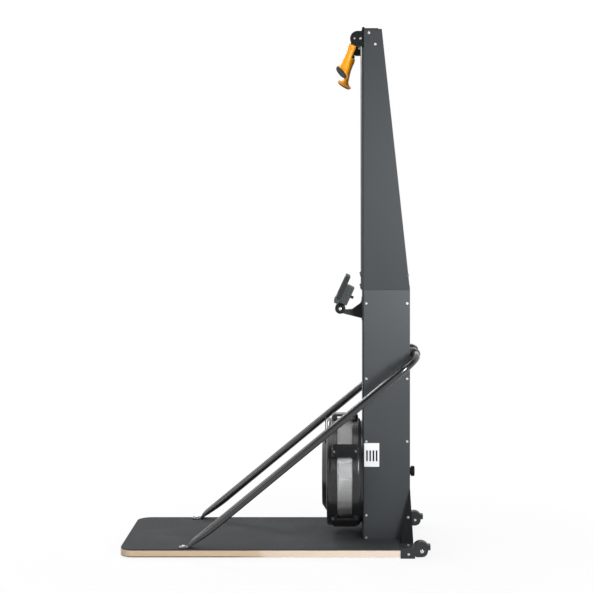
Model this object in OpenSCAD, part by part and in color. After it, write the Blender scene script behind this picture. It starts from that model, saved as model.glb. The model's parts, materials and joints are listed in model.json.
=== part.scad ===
// Ski trainer machine: a tall sheet-metal tower on a standing board. Two cords come out over
// pulleys at the top, wind on drums low down and spin an air flywheel in front of the tower.
// Millimetres, +Z up. The user stands at the -X end and faces +X, so the right side is -Y.
// The origin is on the floor, under the middle of the machine.

/* [Platform] */
// Length of the standing board
board_l = 1195; // [1150:5:1400]
// Width of the standing board
board_w = 600; // [580:10:700]
// Thickness of the plywood
board_t = 27; // [18:1:40]
// Radius of the board's front corners
board_corner_r = 60; // [10:1:90]
// Thickness of the rubber mat
mat_t = 5; // [3:1:8]
// Height of the feet under the board
feet_h = 5; // [4:1:10]
// Diameter of a foot
foot_d = 50; // [30:2:70]

/* [Transport wheels] */
// How far the wheel hoods stand out behind the board
wheel_overhang = 65; // [65:1:80]
// Radius of a transport wheel
wheel_r = 25; // [20:1:26]
// Width of a transport wheel
wheel_w = 24; // [16:1:30]
// Thickness of the corner bracket's plates
bracket_t = 3; // [2:0.5:4]

/* [Tower] */
// Distance from the board's rear edge to the back of the tower
tower_setback = 10; // [6:1:30]
// Depth of the tower's lower part
tower_depth = 197; // [195:1:230]
// Width of the tower's lower part
tower_w = 250; // [244:2:290]
// Height of the seam between the two parts of the tower
seam_z = 1073; // [1040:1:1160]
// Height of the tower's side plates
tower_h = 2145; // [2060:5:2260]
// Width of the tower at its top
tower_top_w = 470; // [450:2:500]
// Depth of the tower at its top
tower_top_depth = 82.7; // [80:0.1:110]
// How far the upper front panel stands proud of the lower one
cover_step = 5.5; // [4:0.5:10]
// Thickness of the sheet metal
sheet_t = 2; // [1.5:0.5:2.5]
// Thickness of the frame's plates
frame_t = 6; // [4:1:8]

/* [Brace] */
// Diameter of the brace tube
brace_d = 32; // [25:1:34]
// Distance from the board's long edge to the middle of a brace leg
brace_inset = 28; // [24:1:34]
// Height of the brace's cross piece behind the tower
brace_cross_z = 803; // [700:1:950]
// Distance from the board's front edge to the brace's feet
brace_foot_from_front = 278.5; // [200:0.5:400]
// Bend radius of the brace at its two upper corners
brace_bend_r = 90; // [60:5:110]

/* [Flywheel] */
// Height of the flywheel's axle
axle_z = 298; // [290:1:330]
// Outer radius of the fan housing
fan_r = 224; // [205:1:228]
// Depth of the rear fan cover
fan_rear_w = 36.6; // [34:0.1:45]
// Width of the perforated outlet band
fan_band_w = 61.4; // [50:0.1:70]
// Depth of the front fan cover
fan_front_w = 43.5; // [35:0.1:55]
// Height of the intake dome on the front cover
fan_dome_h = 19.9; // [16:0.1:24]
// Wall thickness of the fan covers
fan_wall = 3; // [2:0.5:4]
// Radius of the flywheel's axle
axle_r = 10; // [8:0.5:12]
// Number of fan blades
blade_count = 18; // [12:1:24]
// Number of intake openings
intake_count = 6; // [4:1:8]
// Travel of the damper in degrees
damper_travel = 30; // [20:1:30]

/* [Cords and handles] */
// Diameter of a pull cord
cord_d = 5; // [4:0.5:6]
// Radius of a cord pulley
pulley_r = 24; // [22:0.5:26]
// Distance of the front pulleys below the top of the side plates
pulley_below_top = 35.5; // [33:0.5:55]
// Tilt of the right handle, as it hangs, in degrees
right_tilt = 21; // [16:1:26]
// Tilt of the left handle, as it hangs, in degrees
left_tilt = 15.5; // [14:0.5:26]
// Length of a handle from its top to its hand rest
grip_l = 117; // [110:1:135]
// Radius of a handle at its top
grip_r = 15.5; // [13:0.5:16]
// Radius of the hand rest at the handle's end
rest_r = 33; // [28:1:34]

/* [Monitor] */
// Height of the monitor's pivot
monitor_pivot_z = 987.7; // [960:0.1:1020]
// Distance of the monitor's pivot from the tower
monitor_reach = 93.3; // [90:0.1:120]
// Width of the monitor
monitor_w = 190; // [150:2:220]
// How far the monitor leans back, in degrees
monitor_lean = 25; // [10:1:30]
// Travel of a monitor key
key_travel = 1.2; // [0.8:0.1:1.4]

/* [Hidden] */

$fn = 48;
// Number of facets on the round ends that are blended into flat ones
blend_fn = 32;
// How much smaller a blended end is than the round piece that it runs into
blend_step = 0.15;
// Extra length of a cutting tool past the face that it cuts
over = 1;
right = -1;
left = 1;

// Clearances
// Running clearance of a pin in a turning piece
run_fit = 0.05;
// Clearance of a screw in its hole
screw_fit = 0.3;
// Clearance between a fixed pin and its hole
pin_fit = 0.1;
// Clearance of a piece that slides past another
slide_fit = 0.8;
// Gap between the panels at the seam
seam_gap = 0.5;

// Colours
charcoal = [0.33, 0.345, 0.357];
dark_mat = [0.25, 0.26, 0.27];
plywood = [0.88, 0.78, 0.66];
black_paint = [0.11, 0.11, 0.12];
black_plastic = [0.13, 0.13, 0.14];
frame_steel = [0.3, 0.31, 0.32];
silver = [0.75, 0.76, 0.77];
handle_yellow = [0.98, 0.68, 0.1];
white_paint = [0.93, 0.93, 0.92];
cord_black = [0.08, 0.08, 0.09];
screen_grey = [0.55, 0.6, 0.56];

// Platform
overall_l = board_l + wheel_overhang;
board_front_x = -overall_l / 2;
board_rear_x = board_front_x + board_l;
board_half = board_w / 2;
mat_z = feet_h + board_t;
deck_z = mat_z + mat_t;
// How far the mat's edge stays inside the board's edge
mat_inset = 1.5;
foot_inset_x = 70;
foot_inset_y = 60;
mid_foot_from_front = 595;

// Corner brackets and wheels
bracket_l = 56;
bracket_lip_w = 60;
bracket_top_w = 90;
bracket_bolt_from_rear = 23;
bracket_bolt_from_side = 60;
// The wheel's axle and its hood, measured from the hood's rearmost edge and the floor
wheel_axle_from_end = 34.1;
wheel_axle_z = 30.4;
wheel_axle_r = 5;
wheel_edge_r = 4;
hood_r = 34;
hood_t = 4;
hood_ahead = 4.9;
hood_z = deck_z - 2;
hood_from_deg = 15;
cheek_t = 5;
cheek_gap = 1;
cheek_lobe_r = 24;
cheek_low_z = 6;
tab_l = 11.5;
tab_h = 20;
tab_z = 34;
wheel_x = board_rear_x + wheel_overhang - wheel_axle_from_end;
hood_x = wheel_x - hood_ahead;
bracket_out = board_half + bracket_t;
cheek_out = bracket_out;
wheel_y = cheek_out - cheek_t - cheek_gap - wheel_w / 2;
cheek_in = wheel_y - wheel_w / 2 - cheek_gap - cheek_t;

// Tower, lower part
rear_x = board_rear_x - tower_setback;
front_x = rear_x - tower_depth;
tower_half = tower_w / 2;
panel_half = tower_half - sheet_t;
inner_half = panel_half - sheet_t;
return_w = 35;
upper_return_w = 30;
fold_r = 4;
side_edge_x = front_x + 5.5;

// Tower, upper part
cover_x = front_x - cover_step;
upper_side_x = cover_x + 9.5;
top_half = tower_top_w / 2;
top_rear_x = cover_x + tower_top_depth;
upper_z = seam_z + seam_gap;
pulley_z = tower_h - pulley_below_top;
function rise(z) = (z - seam_z) / (tower_h - seam_z);
function half_w(z) = tower_half + (top_half - tower_half) * rise(z);
function upper_rear(z) = rear_x + (top_rear_x - rear_x) * rise(z);
side_lean = atan((top_half - tower_half) / (tower_h - seam_z));
rear_lean = atan((rear_x - top_rear_x) / (tower_h - seam_z));

// Wall of the collar that joins the tower's two parts
frame_wall = 4;

// Screws: button heads with a hexagon socket
screw_r = 2.5;
screw_head_r = 5.5;
screw_head_h = 2.4;
head_taper = 0.72;
socket_r = 1.8;
socket_h = 1.3;
// Panel screws on each side of the tower
panel_screw_rows = [1017.6, 704.9, 443.8, 136.5];
panel_screw_front = 15.5;
panel_screw_rear = 11.7;
foot_screw_z = deck_z + 6;
screw_reach = 2 * sheet_t;
top_bolt_x = 30;
top_bolt_drop = 14;
seam_bolt_y = 90;
seam_bolt_rows = [seam_z + 9, seam_z + 60];
seam_bolt_reach = sheet_t + frame_wall + 1;

// Frame inside the tower
base_plate_inset = 6.5;
base_half = panel_half - 3;
wall_front_x = front_x + 8.5;
wall_rear_x = rear_x - 14.5;
wall_half = base_half - 2;
wall_top_z = 520;
post_x = front_x + 30.5;
post_w = 30;
collar_below = 63;
collar_above = 77;
collar_low_z = seam_z - collar_below;
collar_top_z = seam_z + collar_above;
anchor_z = 1400;
anchor_t = 5;
// Cross member under the pulley housings
cross_below_pulley = 79.5;
cross_z = pulley_z - cross_below_pulley;
cross_depth = 64.5;
cross_rear_x = front_x + cross_depth;
frame_bolt_r = 5;
washer_t = 1.5;
// Radius of a nut or a hexagon head, as a share of its thread's
nut_ratio = 1.7;
frame_bolt_x = 30;
frame_bolt_y = 25;

// Vent plates
vent_from_front = 6.5;
vent_w = 62.5;
vent_z0 = 339;
vent_h = 98;
vent_t = 1;
vent_slots = 4;
vent_slot_pitch = 13.4;
vent_slot_w = 5.4;
vent_slot_z0 = 22;
vent_slot_h = 46.5;
vent_slot_first = 11.6;

// Gussets at the foot of the tower
gusset_t = 3;
gusset_h = 215;
gusset_spread = board_half - bracket_top_w - tower_half;
gusset_run = 43.5;
gusset_back = 10.5;

// Brace
leg_y = board_half - brace_inset;
saddle_gap = 6.5;
cross_x = rear_x + saddle_gap + brace_d / 2;
foot_x = board_front_x + brace_foot_from_front;
foot_mid_z = deck_z + 1;
brace_angle = atan((brace_cross_z - foot_mid_z) / (cross_x - foot_x));
brace_run = norm([cross_x - foot_x, brace_cross_z - foot_mid_z]);
brace_taper_l = 140;
brace_bend_steps = 8;
brace_flat_l = 12;
brace_flat_t = 6;
brace_flat_w = 42;
brace_tab_l = 38;
saddle_y = 80;
saddle_w = 24;
saddle_h = 50;
saddle_wrap = 6;

// Fan housing, from the tower forward
fan_mount_t = 7.5;
fan_mount_r = fan_r - 12;
fan_back_x = front_x - fan_mount_t;
fan_rear_x = fan_back_x - fan_rear_w;
fan_band_x = fan_rear_x - fan_band_w;
fan_face_x = fan_band_x - fan_front_w;
fan_dome_x = fan_face_x - fan_dome_h;
fan_rim_r = 12;
dome_rim = 58;
dome_slope = 28;
dome_base_r = fan_r - dome_rim;
dome_top_r = dome_base_r - dome_slope;
intake_in_r = 46;
intake_out_r = dome_top_r - 10;
intake_deg = 30;
band_t = 1.2;
band_seat = 0.2;
band_out_r = fan_r - 1.8;
band_in_r = band_out_r - band_t;
lip_l = 6;
lip_t = 2;
spigot_r = 8;
fan_hole_r = 24;

// Bridges that tie the two fan covers together
bridge_angles = [90, 30, 150, -50, -130];
bridge_over_front = 24;
bridge_over_rear = 26.6;
bridge_front_x = fan_band_x - bridge_over_front;
bridge_rear_x = fan_rear_x + bridge_over_rear;
bridge_w = 56;
bridge_out_r = fan_r + 21;
bridge_seat = 0.2;
bridge_foot = 24;
bridge_t = 10;
bridge_end_r = 14;
bridge_bolt_in = 11;
bridge_bolt_recess = 11;
bridge_bolt_pocket_r = 8;

// Damper
damper_gap = 1.4;
damper_t = 2.5;
damper_disc_r = intake_out_r + 4;
lever_t = 4;
lever_w = 14;
lever_x = fan_face_x - 8;
lever_top_r = fan_r + 5;

// Flywheel
flywheel_disc_t = 4;
flywheel_r = fan_r - 19;
flywheel_hub_r = 30;
flywheel_x = fan_rear_x + 6.6;
blade_l = 56;
blade_t = 2;
blade_in_r = 110;
axle_nut_h = 6;
axle_front_x = flywheel_x - blade_l - axle_nut_h - 2;
axle_rear_x = rear_x + 8;
bearing_w = 10;
bearing_r = axle_r + 7.5;
cap_neck_r = 16;
cap_neck_l = 9;
cap_flange_r = 25;
cap_flange_l = 5;
cap_r = 21.5;
cap_l = 24.5;
cap_bore_r = axle_r + 2;
cap_bore_l = 13.5;

// Cord drums
drum_front_x = front_x + 48.5;
drum_pitch = 50;
drum_flange_t = 2;
drum_core_r = 28;
drum_flange_r = 44;
drum_rope_w = 35;
return_core_r = 14;
return_flange_r = 24;
return_w_groove = 8;
return_cord_d = 6;
winding_r = drum_core_r + cord_d + 0.3;
winding_gap = 0.2;
cord_drum_r = drum_core_r + cord_d / 2;
cord_end_z = axle_z + 18.5;
cord_lands = 21;
return_cord_r = return_core_r + return_cord_d / 2;
return_end_z = axle_z + 18;
drum_l = 3 * drum_flange_t + drum_rope_w + return_w_groove;

// Pulleys, their housings and the cord's path over them
inner_pulley_drop = 24.5;
inner_pulley_back = 50.5;
housing_depth = 74.5;
pulley_from_side = 23.4;
pulley_y = half_w(pulley_z) - pulley_from_side;
pulley_x = front_x - 10;
inner_pulley_x = front_x + inner_pulley_back;
inner_pulley_z = pulley_z - inner_pulley_drop;
groove_gap = 0.3;
cord_r = cord_d / 2;
groove_r = pulley_r - 6.8;
cord_line_r = groove_r + groove_gap + cord_r;
pulley_half = 7.5;
rim_w = 2;
groove_half = cord_r + 0.5;
pulley_axle_r = 5;
pulley_side_gap = 1;
housing_r = 31;
housing_x = pulley_x - 11.5;
housing_wall = 3;
housing_half = 13;
housing_rear_x = front_x + housing_depth;
housing_leg_w = 38;
housing_low = 31;
cheek_half = pulley_half + pulley_side_gap;
cord_slot_w = 12;
axle_head_r = 6;
axle_head_h = 3;
housing_screw_x = pulley_x - 24.5;
run_angle = 90 + atan2(inner_pulley_z - pulley_z, inner_pulley_x - pulley_x);
arc_steps = 8;

// Handles
right_drop = 36;
left_drop = 50;
cord_in_grip = 30;
grip_bore_gap = 0.5;
grip_waist_r = 13.5;
grip_flare_r = 17.5;
waist_z = 0.42 * grip_l;
swell_z = 0.62 * grip_l;
flare_z = 0.86 * grip_l;
rest_neck_r = 0.66 * rest_r;
rest_t = 5;
rest_slant = 26;
rest_turn = 15;
pad_t = 9;
pad_inset = 3;
grip_edge_r = 2.5;

// Monitor. In its own frame +X points back, away from the user, and +Z up along its face.
pivot_x = front_x - monitor_reach;
arm_w = 24;
arm_knuckle_r = 19.5;
arm_flange_w = 60;
arm_flange_t = 3;
arm_flange_h = 95;
arm_rib_t = 4;
pivot_bolt_r = 5;
pivot_head_r = 8.5;
pivot_head_h = 4;
lug_r = 22;
lug_t = 6;
lug_gap = 1;
face_x = -37.3;
split_x = -18.4;
back_x = 17.2;
chin_z0 = 17.3;
chin_z1 = 38;
bezel_z0 = 40;
bezel_z1 = 141.9;
back_z0 = 26.1;
back_z1 = 104.4;
back_w = 130;
case_wall = 2.5;
knob_r = 6;
knob_l = 14;
knob_z = 64;
window_w = 130;
window_h = 76;
window_z = 53;
screen_t = 2;
screen_fit = 0.2;
key_count = 4;
key_w = 26;
key_h = 11;
key_pitch = 36;
key_z = 28;
key_t = 4;
key_proud = 2.2;
key_fit = 0.4;

// Shared helpers

// Puts what is drawn for the left side (+Y) on either side
module on_side(side) {
    if (side > 0) children();
    else mirror([0, 1, 0]) children();
}

// Puts a turned shape's axis along +X, at the height of the flywheel's axle
module on_axle(x) {
    translate([x, 0, axle_z]) rotate([0, 90, 0]) children();
}

// Puts a turned shape's axis along +Y
module along_y(x, y, z) {
    translate([x, y, z]) rotate([-90, 0, 0]) children();
}

// A box between two corners
module block(low, high) {
    translate(low) cube(high - low);
}

// Points on an arc, in order
function arc(centre, r, from, to, steps) = [
    for (i = [0 : steps])
        let (a = from + (to - from) * i / steps)
        centre + r * [cos(a), sin(a)]
];

// A ring sector, drawn in the plane across the axle
module sector(inner, outer, mid, spread, steps = 8) {
    polygon(concat(
        arc([0, 0], outer, mid - spread / 2, mid + spread / 2, steps),
        arc([0, 0], inner, mid + spread / 2, mid - spread / 2, steps)
    ));
}

// A button-head screw, its head on the plane z = 0 and its shank below
module screw(reach, r = screw_r, head_r = screw_head_r, head_h = screw_head_h) {
    difference() {
        union() {
            cylinder(h = head_h / 2, r = head_r);
            translate([0, 0, head_h / 2])
                cylinder(h = head_h / 2, r1 = head_r, r2 = head_r * head_taper);
            translate([0, 0, -reach]) cylinder(h = reach + head_h / 2, r = r);
        }
        translate([0, 0, head_h - socket_h])
            cylinder(h = socket_h + over, r = socket_r * head_r / screw_head_r, $fn = 6);
    }
}

// A hexagon-head bolt with a washer, standing on the plane z = 0
module hex_bolt(reach, r = frame_bolt_r) {
    translate([0, 0, -reach]) cylinder(h = reach + over, r = r);
    cylinder(h = washer_t, r = r * 2);
    translate([0, 0, washer_t]) cylinder(h = r, r = r * nut_ratio, $fn = 6);
}

// The hole for a screw, through everything near the plane z = 0
module screw_hole(reach, r = screw_r + screw_fit) {
    translate([0, 0, -reach - over]) cylinder(h = reach + 2 * over, r = r);
}

// The board's outline, drawn in to leave an edge
module board_outline(inset, h) {
    x0 = board_front_x + inset;
    x1 = board_rear_x - inset;
    y = board_half - inset;
    r = board_corner_r;
    block([x0 + r, -y, 0], [x1, y, h]);
    block([x0, -y + r, 0], [x0 + 2 * r, y - r, h]);
    for (side = [right, left])
        translate([x0 + r, side * (y - r), 0]) cylinder(h = h, r = r);
}

// A solid that fills the flared upper part of the tower. Its front edge may lean.
module upper_body(front_low, front_top, rear_in, side_in, z0, z1) {
    intersection() {
        rotate([90, 0, 0])
            linear_extrude(height = 2 * tower_top_w, center = true)
                polygon([
                    [front_low, z0], [upper_rear(z0) - rear_in, z0],
                    [upper_rear(z1) - rear_in, z1], [front_top, z1]
                ]);
        rotate([90, 0, 90])
            linear_extrude(height = overall_l)
                polygon([
                    [-half_w(z0) + side_in, z0], [half_w(z0) - side_in, z0],
                    [half_w(z1) - side_in, z1], [-half_w(z1) + side_in, z1]
                ]);
    }
}

function unit(v) = v / norm(v);

// The direction of a line at one of its points
function heading(line, i) = i == 0
    ? unit(line[1] - line[0])
    : i == len(line) - 1
        ? unit(line[i] - line[i - 1])
        : unit(unit(line[i + 1] - line[i]) + unit(line[i] - line[i - 1]));

// A round bar along a line that lies flat across one direction. Corners keep their width.
module swept(line, r, across, sides) {
    last = len(line) - 1;
    ring_points = [
        for (i = [0 : last])
            let (h = heading(line, i), u = unit(cross(h, across)), v = cross(h, u))
            for (k = [0 : sides - 1])
                line[i] + r * (cos(k * 360 / sides) * u + sin(k * 360 / sides) * v)
    ];
    walls = [
        for (i = [0 : last - 1], k = [0 : sides - 1])
            let (a = i * sides + k, b = i * sides + (k + 1) % sides)
            [a + sides, b + sides, b, a]
    ];
    start = [for (k = [0 : sides - 1]) k];
    end = [for (k = [0 : sides - 1]) last * sides + sides - 1 - k];
    polyhedron(points = ring_points, faces = concat(walls, [start, end]));
}

// Places on the left side panel where its screws go
module at_panel_screws() {
    for (z = concat(panel_screw_rows, [foot_screw_z]))
        translate([front_x + panel_screw_front, tower_half, z]) rotate([-90, 0, 0]) children();
    for (z = panel_screw_rows)
        translate([rear_x - panel_screw_rear, tower_half, z]) rotate([-90, 0, 0]) children();
}

// Places on the left upper side plate where its two bolts go
module at_top_bolts() {
    z1 = tower_h - top_bolt_drop;
    for (p = [[cover_x + top_bolt_x, z1], [inner_pulley_x, inner_pulley_z]])
        translate([p[0], half_w(p[1]), p[1]]) rotate([-90 - side_lean, 0, 0]) children();
}

// Places of the bolts above the seam, on the front and on the rear
module at_seam_bolts() {
    for (z = seam_bolt_rows, y = [-seam_bolt_y, seam_bolt_y]) {
        translate([cover_x, y, z]) rotate([0, -90, 0]) children();
        translate([upper_rear(z), y, z]) rotate([0, 90 - rear_lean, 0]) children();
    }
}

// Places of the bolts that hold the frame's base plate to the board
module at_frame_bolts() {
    for (x = [front_x + frame_bolt_x, rear_x - frame_bolt_x])
        for (y = [-tower_half + frame_bolt_y, tower_half - frame_bolt_y])
            translate([x, y, deck_z + frame_t]) children();
}

// Places of the bolts through the brace's feet
module at_brace_bolts() {
    for (side = [right, left])
        translate([foot_x - brace_tab_l / 2, side * leg_y, deck_z + brace_flat_t]) children();
}

// The vertical bolt of a corner bracket
module at_bracket_top_bolts() {
    for (side = [right, left])
        translate([
            board_rear_x - bracket_bolt_from_rear,
            side * (board_half - bracket_bolt_from_side),
            deck_z + bracket_t
        ]) children();
}

// The sideways bolt of a corner bracket
module at_bracket_side_bolts() {
    for (side = [right, left])
        on_side(side)
            translate([
                board_rear_x - bracket_bolt_from_rear, bracket_out, feet_h + board_t / 2
            ]) rotate([-90, 0, 0]) children();
}

// Platform

module platform_board() {
    color(plywood) difference() {
        translate([0, 0, feet_h]) board_outline(0, board_t);
        at_frame_bolts() screw_hole(mat_t + frame_t + board_t, frame_bolt_r + pin_fit);
        at_brace_bolts() screw_hole(mat_t + brace_flat_t + board_t, screw_r + screw_fit);
        at_bracket_top_bolts() screw_hole(mat_t + bracket_t + board_t / 2);
        at_bracket_side_bolts() screw_hole(board_t);
    }
}

module platform_mat() {
    color(dark_mat) difference() {
        translate([0, 0, mat_z]) board_outline(mat_inset, mat_t);
        at_frame_bolts() screw_hole(mat_t + frame_t, frame_bolt_r + pin_fit);
        at_brace_bolts() screw_hole(mat_t + brace_flat_t);
        at_bracket_top_bolts() screw_hole(mat_t + bracket_t);
    }
}

module platform_feet() {
    color(black_plastic)
        for (x = [board_front_x + foot_inset_x, board_front_x + mid_foot_from_front])
            for (y = [-board_half + foot_inset_y, board_half - foot_inset_y])
                translate([x, y, 0]) {
                    cylinder(h = feet_h - 1, r1 = foot_d / 2 - 1, r2 = foot_d / 2);
                    translate([0, 0, feet_h - 1]) cylinder(h = 1, r = foot_d / 2);
                }
}

// One corner bracket: it wraps the board's rear corner and holds a wheel in its hood
module corner_bracket() {
    x0 = board_rear_x - bracket_l;
    x1 = board_rear_x + bracket_t;
    top = deck_z + bracket_t;
    pocket_y0 = cheek_in + cheek_t;
    pocket_y1 = cheek_out - cheek_t;
    difference() {
        union() {
            block([x0, board_half, 0], [x1, bracket_out, top]);
            block([x0, board_half - bracket_lip_w, 0], [x1, bracket_out, feet_h]);
            block([x0, board_half - bracket_top_w, deck_z], [x1, bracket_out, top]);
            block([board_rear_x, board_half - bracket_top_w, 0], [x1, bracket_out, top]);
            intersection() {
                union() {
                    intersection() {
                        along_y(hood_x, cheek_in, hood_z)
                            cylinder(h = cheek_out - cheek_in, r = hood_r);
                        union() {
                            block([x0, cheek_in, tab_z], [wheel_x + hood_r, cheek_out, tower_h]);
                            block([x0, cheek_in, cheek_low_z], [wheel_x, cheek_out, tower_h]);
                        }
                    }
                    along_y(wheel_x, cheek_in, wheel_axle_z)
                        cylinder(h = cheek_out - cheek_in, r = cheek_lobe_r);
                }
                block([board_rear_x, 0, 0], [board_rear_x + overall_l, board_w, tower_h]);
            }
            block(
                [board_rear_x + wheel_overhang - tab_l - hood_t, cheek_in, tab_z],
                [board_rear_x + wheel_overhang, cheek_out, tab_z + tab_h]
            );
        }
        intersection() {
            union() {
                along_y(hood_x, pocket_y0, hood_z)
                    cylinder(h = pocket_y1 - pocket_y0, r = hood_r - hood_t);
                block(
                    [x1, pocket_y0, -over],
                    [hood_x + hood_r - hood_t, pocket_y1, hood_z + hood_r * sin(hood_from_deg)]
                );
            }
            block([x1, 0, -over], [board_rear_x + overall_l, board_w, tower_h]);
        }
        along_y(wheel_x, 0, wheel_axle_z) cylinder(h = board_w, r = wheel_axle_r + pin_fit);
        at_bracket_top_bolts() screw_hole(bracket_t);
        at_bracket_side_bolts() screw_hole(bracket_t);
    }
}

module right_corner_bracket() {
    color(black_paint) on_side(right) corner_bracket();
}

module left_corner_bracket() {
    color(black_paint) on_side(left) corner_bracket();
}

// All bolts of the base: frame, brace feet, corner brackets, gussets and the wheels' axles
module base_bolts() {
    axle_l = cheek_out - cheek_in;
    color(silver) {
        at_frame_bolts() hex_bolt(mat_t + frame_t + board_t - 4);
        at_brace_bolts() screw(mat_t + brace_flat_t + 18, head_r = 8, head_h = 4);
        at_bracket_top_bolts() screw(mat_t + bracket_t + 12);
        at_bracket_side_bolts() screw(20);
        for (side = [right, left])
            on_side(side) {
                along_y(wheel_x, cheek_out, wheel_axle_z)
                    screw(axle_l, r = wheel_axle_r, head_r = 8, head_h = 3);
                gusset_bolt();
            }
    }
}

module wheel() {
    r = wheel_edge_r;
    h = wheel_w / 2;
    bore = wheel_axle_r + run_fit;
    rotate_extrude()
        polygon(concat(
            [[bore, -h], [wheel_r - r, -h]],
            arc([wheel_r - r, -h + r], r, -90, 0, 5),
            arc([wheel_r - r, h - r], r, 0, 90, 5),
            [[bore, h]]
        ));
}

module right_wheel() {
    color(black_plastic) along_y(wheel_x, -wheel_y, wheel_axle_z) wheel();
}

module left_wheel() {
    color(black_plastic) along_y(wheel_x, wheel_y, wheel_axle_z) wheel();
}

// Brace

// Places the brace's own flat plane: +X runs up the legs
module brace_plane() {
    translate([foot_x, 0, foot_mid_z]) rotate([0, -brace_angle, 0]) children();
}

// The flattened foot of one leg, drawn at +Y
module brace_foot() {
    flat_x = foot_x + brace_flat_l;
    side_in = leg_y - brace_flat_w / 2;
    hull() {
        brace_plane()
            translate([brace_taper_l, leg_y, 0])
                rotate([0, 90, 0])
                    cylinder(h = brace_flat_l / 4, r = brace_d / 2 - blend_step, $fn = blend_fn);
        translate([flat_x, side_in, deck_z + brace_flat_t])
            cube([1, brace_flat_w, brace_flat_t]);
    }
    hull() {
        translate([flat_x, side_in, deck_z + brace_flat_t])
            cube([1, brace_flat_w, brace_flat_t]);
        translate([foot_x - 1, side_in, deck_z])
            cube([1, brace_flat_w, brace_flat_t]);
    }
    difference() {
        block(
            [foot_x - brace_tab_l, side_in, deck_z],
            [foot_x, side_in + brace_flat_w, deck_z + brace_flat_t]
        );
        at_brace_bolts() screw_hole(brace_flat_t);
    }
}

// Middle line of the brace between its two tapers, in the brace's own plane
brace_bend_x = brace_run - brace_bend_r;
brace_cross_half = leg_y - brace_bend_r;
brace_line = [
    [brace_taper_l, -leg_y, 0],
    each [
        for (p = arc([brace_bend_x, -brace_cross_half], brace_bend_r, -90, 0, brace_bend_steps))
            [p[0], p[1], 0]
    ],
    each [
        for (p = arc([brace_bend_x, brace_cross_half], brace_bend_r, 0, 90, brace_bend_steps))
            [p[0], p[1], 0]
    ],
    [brace_taper_l, leg_y, 0]
];

module brace_tube() {
    color(black_paint) {
        brace_plane() swept(brace_line, brace_d / 2, [0, 0, 1], blend_fn);
        for (side = [right, left])
            on_side(side) brace_foot();
    }
}

// Two split blocks that hold the brace's cross piece to the back of the tower
module brace_saddles() {
    color(black_paint)
        for (y = [-saddle_y, saddle_y])
            difference() {
                union() {
                    block(
                        [rear_x, y - saddle_w / 2, brace_cross_z - saddle_h / 2],
                        [cross_x, y + saddle_w / 2, brace_cross_z + saddle_h / 2]
                    );
                    along_y(cross_x, y - saddle_w / 2, brace_cross_z)
                        cylinder(h = saddle_w, r = brace_d / 2 + saddle_wrap);
                }
                along_y(cross_x, y - saddle_w, brace_cross_z)
                    cylinder(h = 2 * saddle_w, r = brace_d / 2 + pin_fit);
                block([-overall_l, y - saddle_w, 0], [rear_x, y + saddle_w, tower_h]);
            }
}

// Tower frame and gussets

module collar() {
    front_in = front_x + sheet_t;
    difference() {
        union() {
            block([front_in, -inner_half, collar_low_z], [rear_x - sheet_t, inner_half, seam_z]);
            upper_body(cover_x + sheet_t, cover_x + sheet_t, sheet_t, 2 * sheet_t,
                seam_z, collar_top_z);
        }
        block(
            [front_in + frame_wall, -inner_half + frame_wall, collar_low_z - over],
            [rear_x - sheet_t - frame_wall, inner_half - frame_wall, seam_z + over]
        );
        upper_body(front_in + frame_wall, cover_x + sheet_t + frame_wall,
            sheet_t + frame_wall, 2 * sheet_t + frame_wall, seam_z, collar_top_z + over);
        at_seam_bolts() screw_hole(seam_bolt_reach);
    }
}

module tower_frame() {
    color(frame_steel) {
        difference() {
            union() {
                block(
                    [front_x + base_plate_inset, -base_half, deck_z],
                    [rear_x - base_plate_inset, base_half, deck_z + frame_t]
                );
                for (x = [wall_front_x, wall_rear_x])
                    block([x, -wall_half, deck_z], [x + frame_t, wall_half, wall_top_z]);
                for (side = [right, left])
                    on_side(side)
                        block(
                            [post_x, wall_half - frame_t, deck_z],
                            [post_x + post_w, wall_half, cross_z + frame_t]
                        );
            }
            at_frame_bolts() screw_hole(frame_t, frame_bolt_r + pin_fit);
            on_axle(wall_front_x - over)
                cylinder(h = wall_rear_x - wall_front_x + 3 * frame_t, r = bearing_r + pin_fit);
        }
        collar();
        block(
            [post_x, -wall_half, anchor_z],
            [drum_front_x + 2 * drum_pitch + anchor_t, wall_half, anchor_z + anchor_t]
        );
        intersection() {
            block(
                [cover_x + sheet_t, -top_half, cross_z],
                [cross_rear_x, top_half, cross_z + frame_t]
            );
            upper_body(cover_x + sheet_t, cover_x + sheet_t, 0, 2 * sheet_t, seam_z, tower_h);
        }
    }
}

// Corners of a gusset at +Y: its top on the tower, its two toes, and its two inner feet
gusset_top = [rear_x, tower_half, deck_z + gusset_h];
gusset_toe = [rear_x - gusset_run, tower_half + gusset_spread - 5, deck_z];
gusset_heel = [rear_x + gusset_back, tower_half + gusset_spread, deck_z];
gusset_normal = cross(gusset_heel - gusset_top, gusset_toe - gusset_top);
gusset_out = gusset_normal / norm(gusset_normal);
// The place of the gusset's bolt, as shares of the way to its toe and heel
toe_share = 0.28;
heel_share = 0.25;
gusset_bolt_at = gusset_top + toe_share * (gusset_toe - gusset_top)
    + heel_share * (gusset_heel - gusset_top);

module gusset_solid() {
    polyhedron(
        points = [
            gusset_top, gusset_toe, gusset_heel,
            [rear_x, tower_half, deck_z],
            [gusset_toe[0], tower_half, deck_z]
        ],
        faces = [[0, 1, 2], [0, 2, 3], [0, 3, 4], [0, 4, 1], [4, 3, 2, 1]]
    );
}

// Turns +Z to the gusset's outer face
module at_gusset_bolt() {
    translate(gusset_bolt_at)
        rotate([0, acos(gusset_out[2]), atan2(gusset_out[1], gusset_out[0])]) children();
}

module gusset_bolt() {
    at_gusset_bolt() screw(gusset_t + 4);
}

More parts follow.
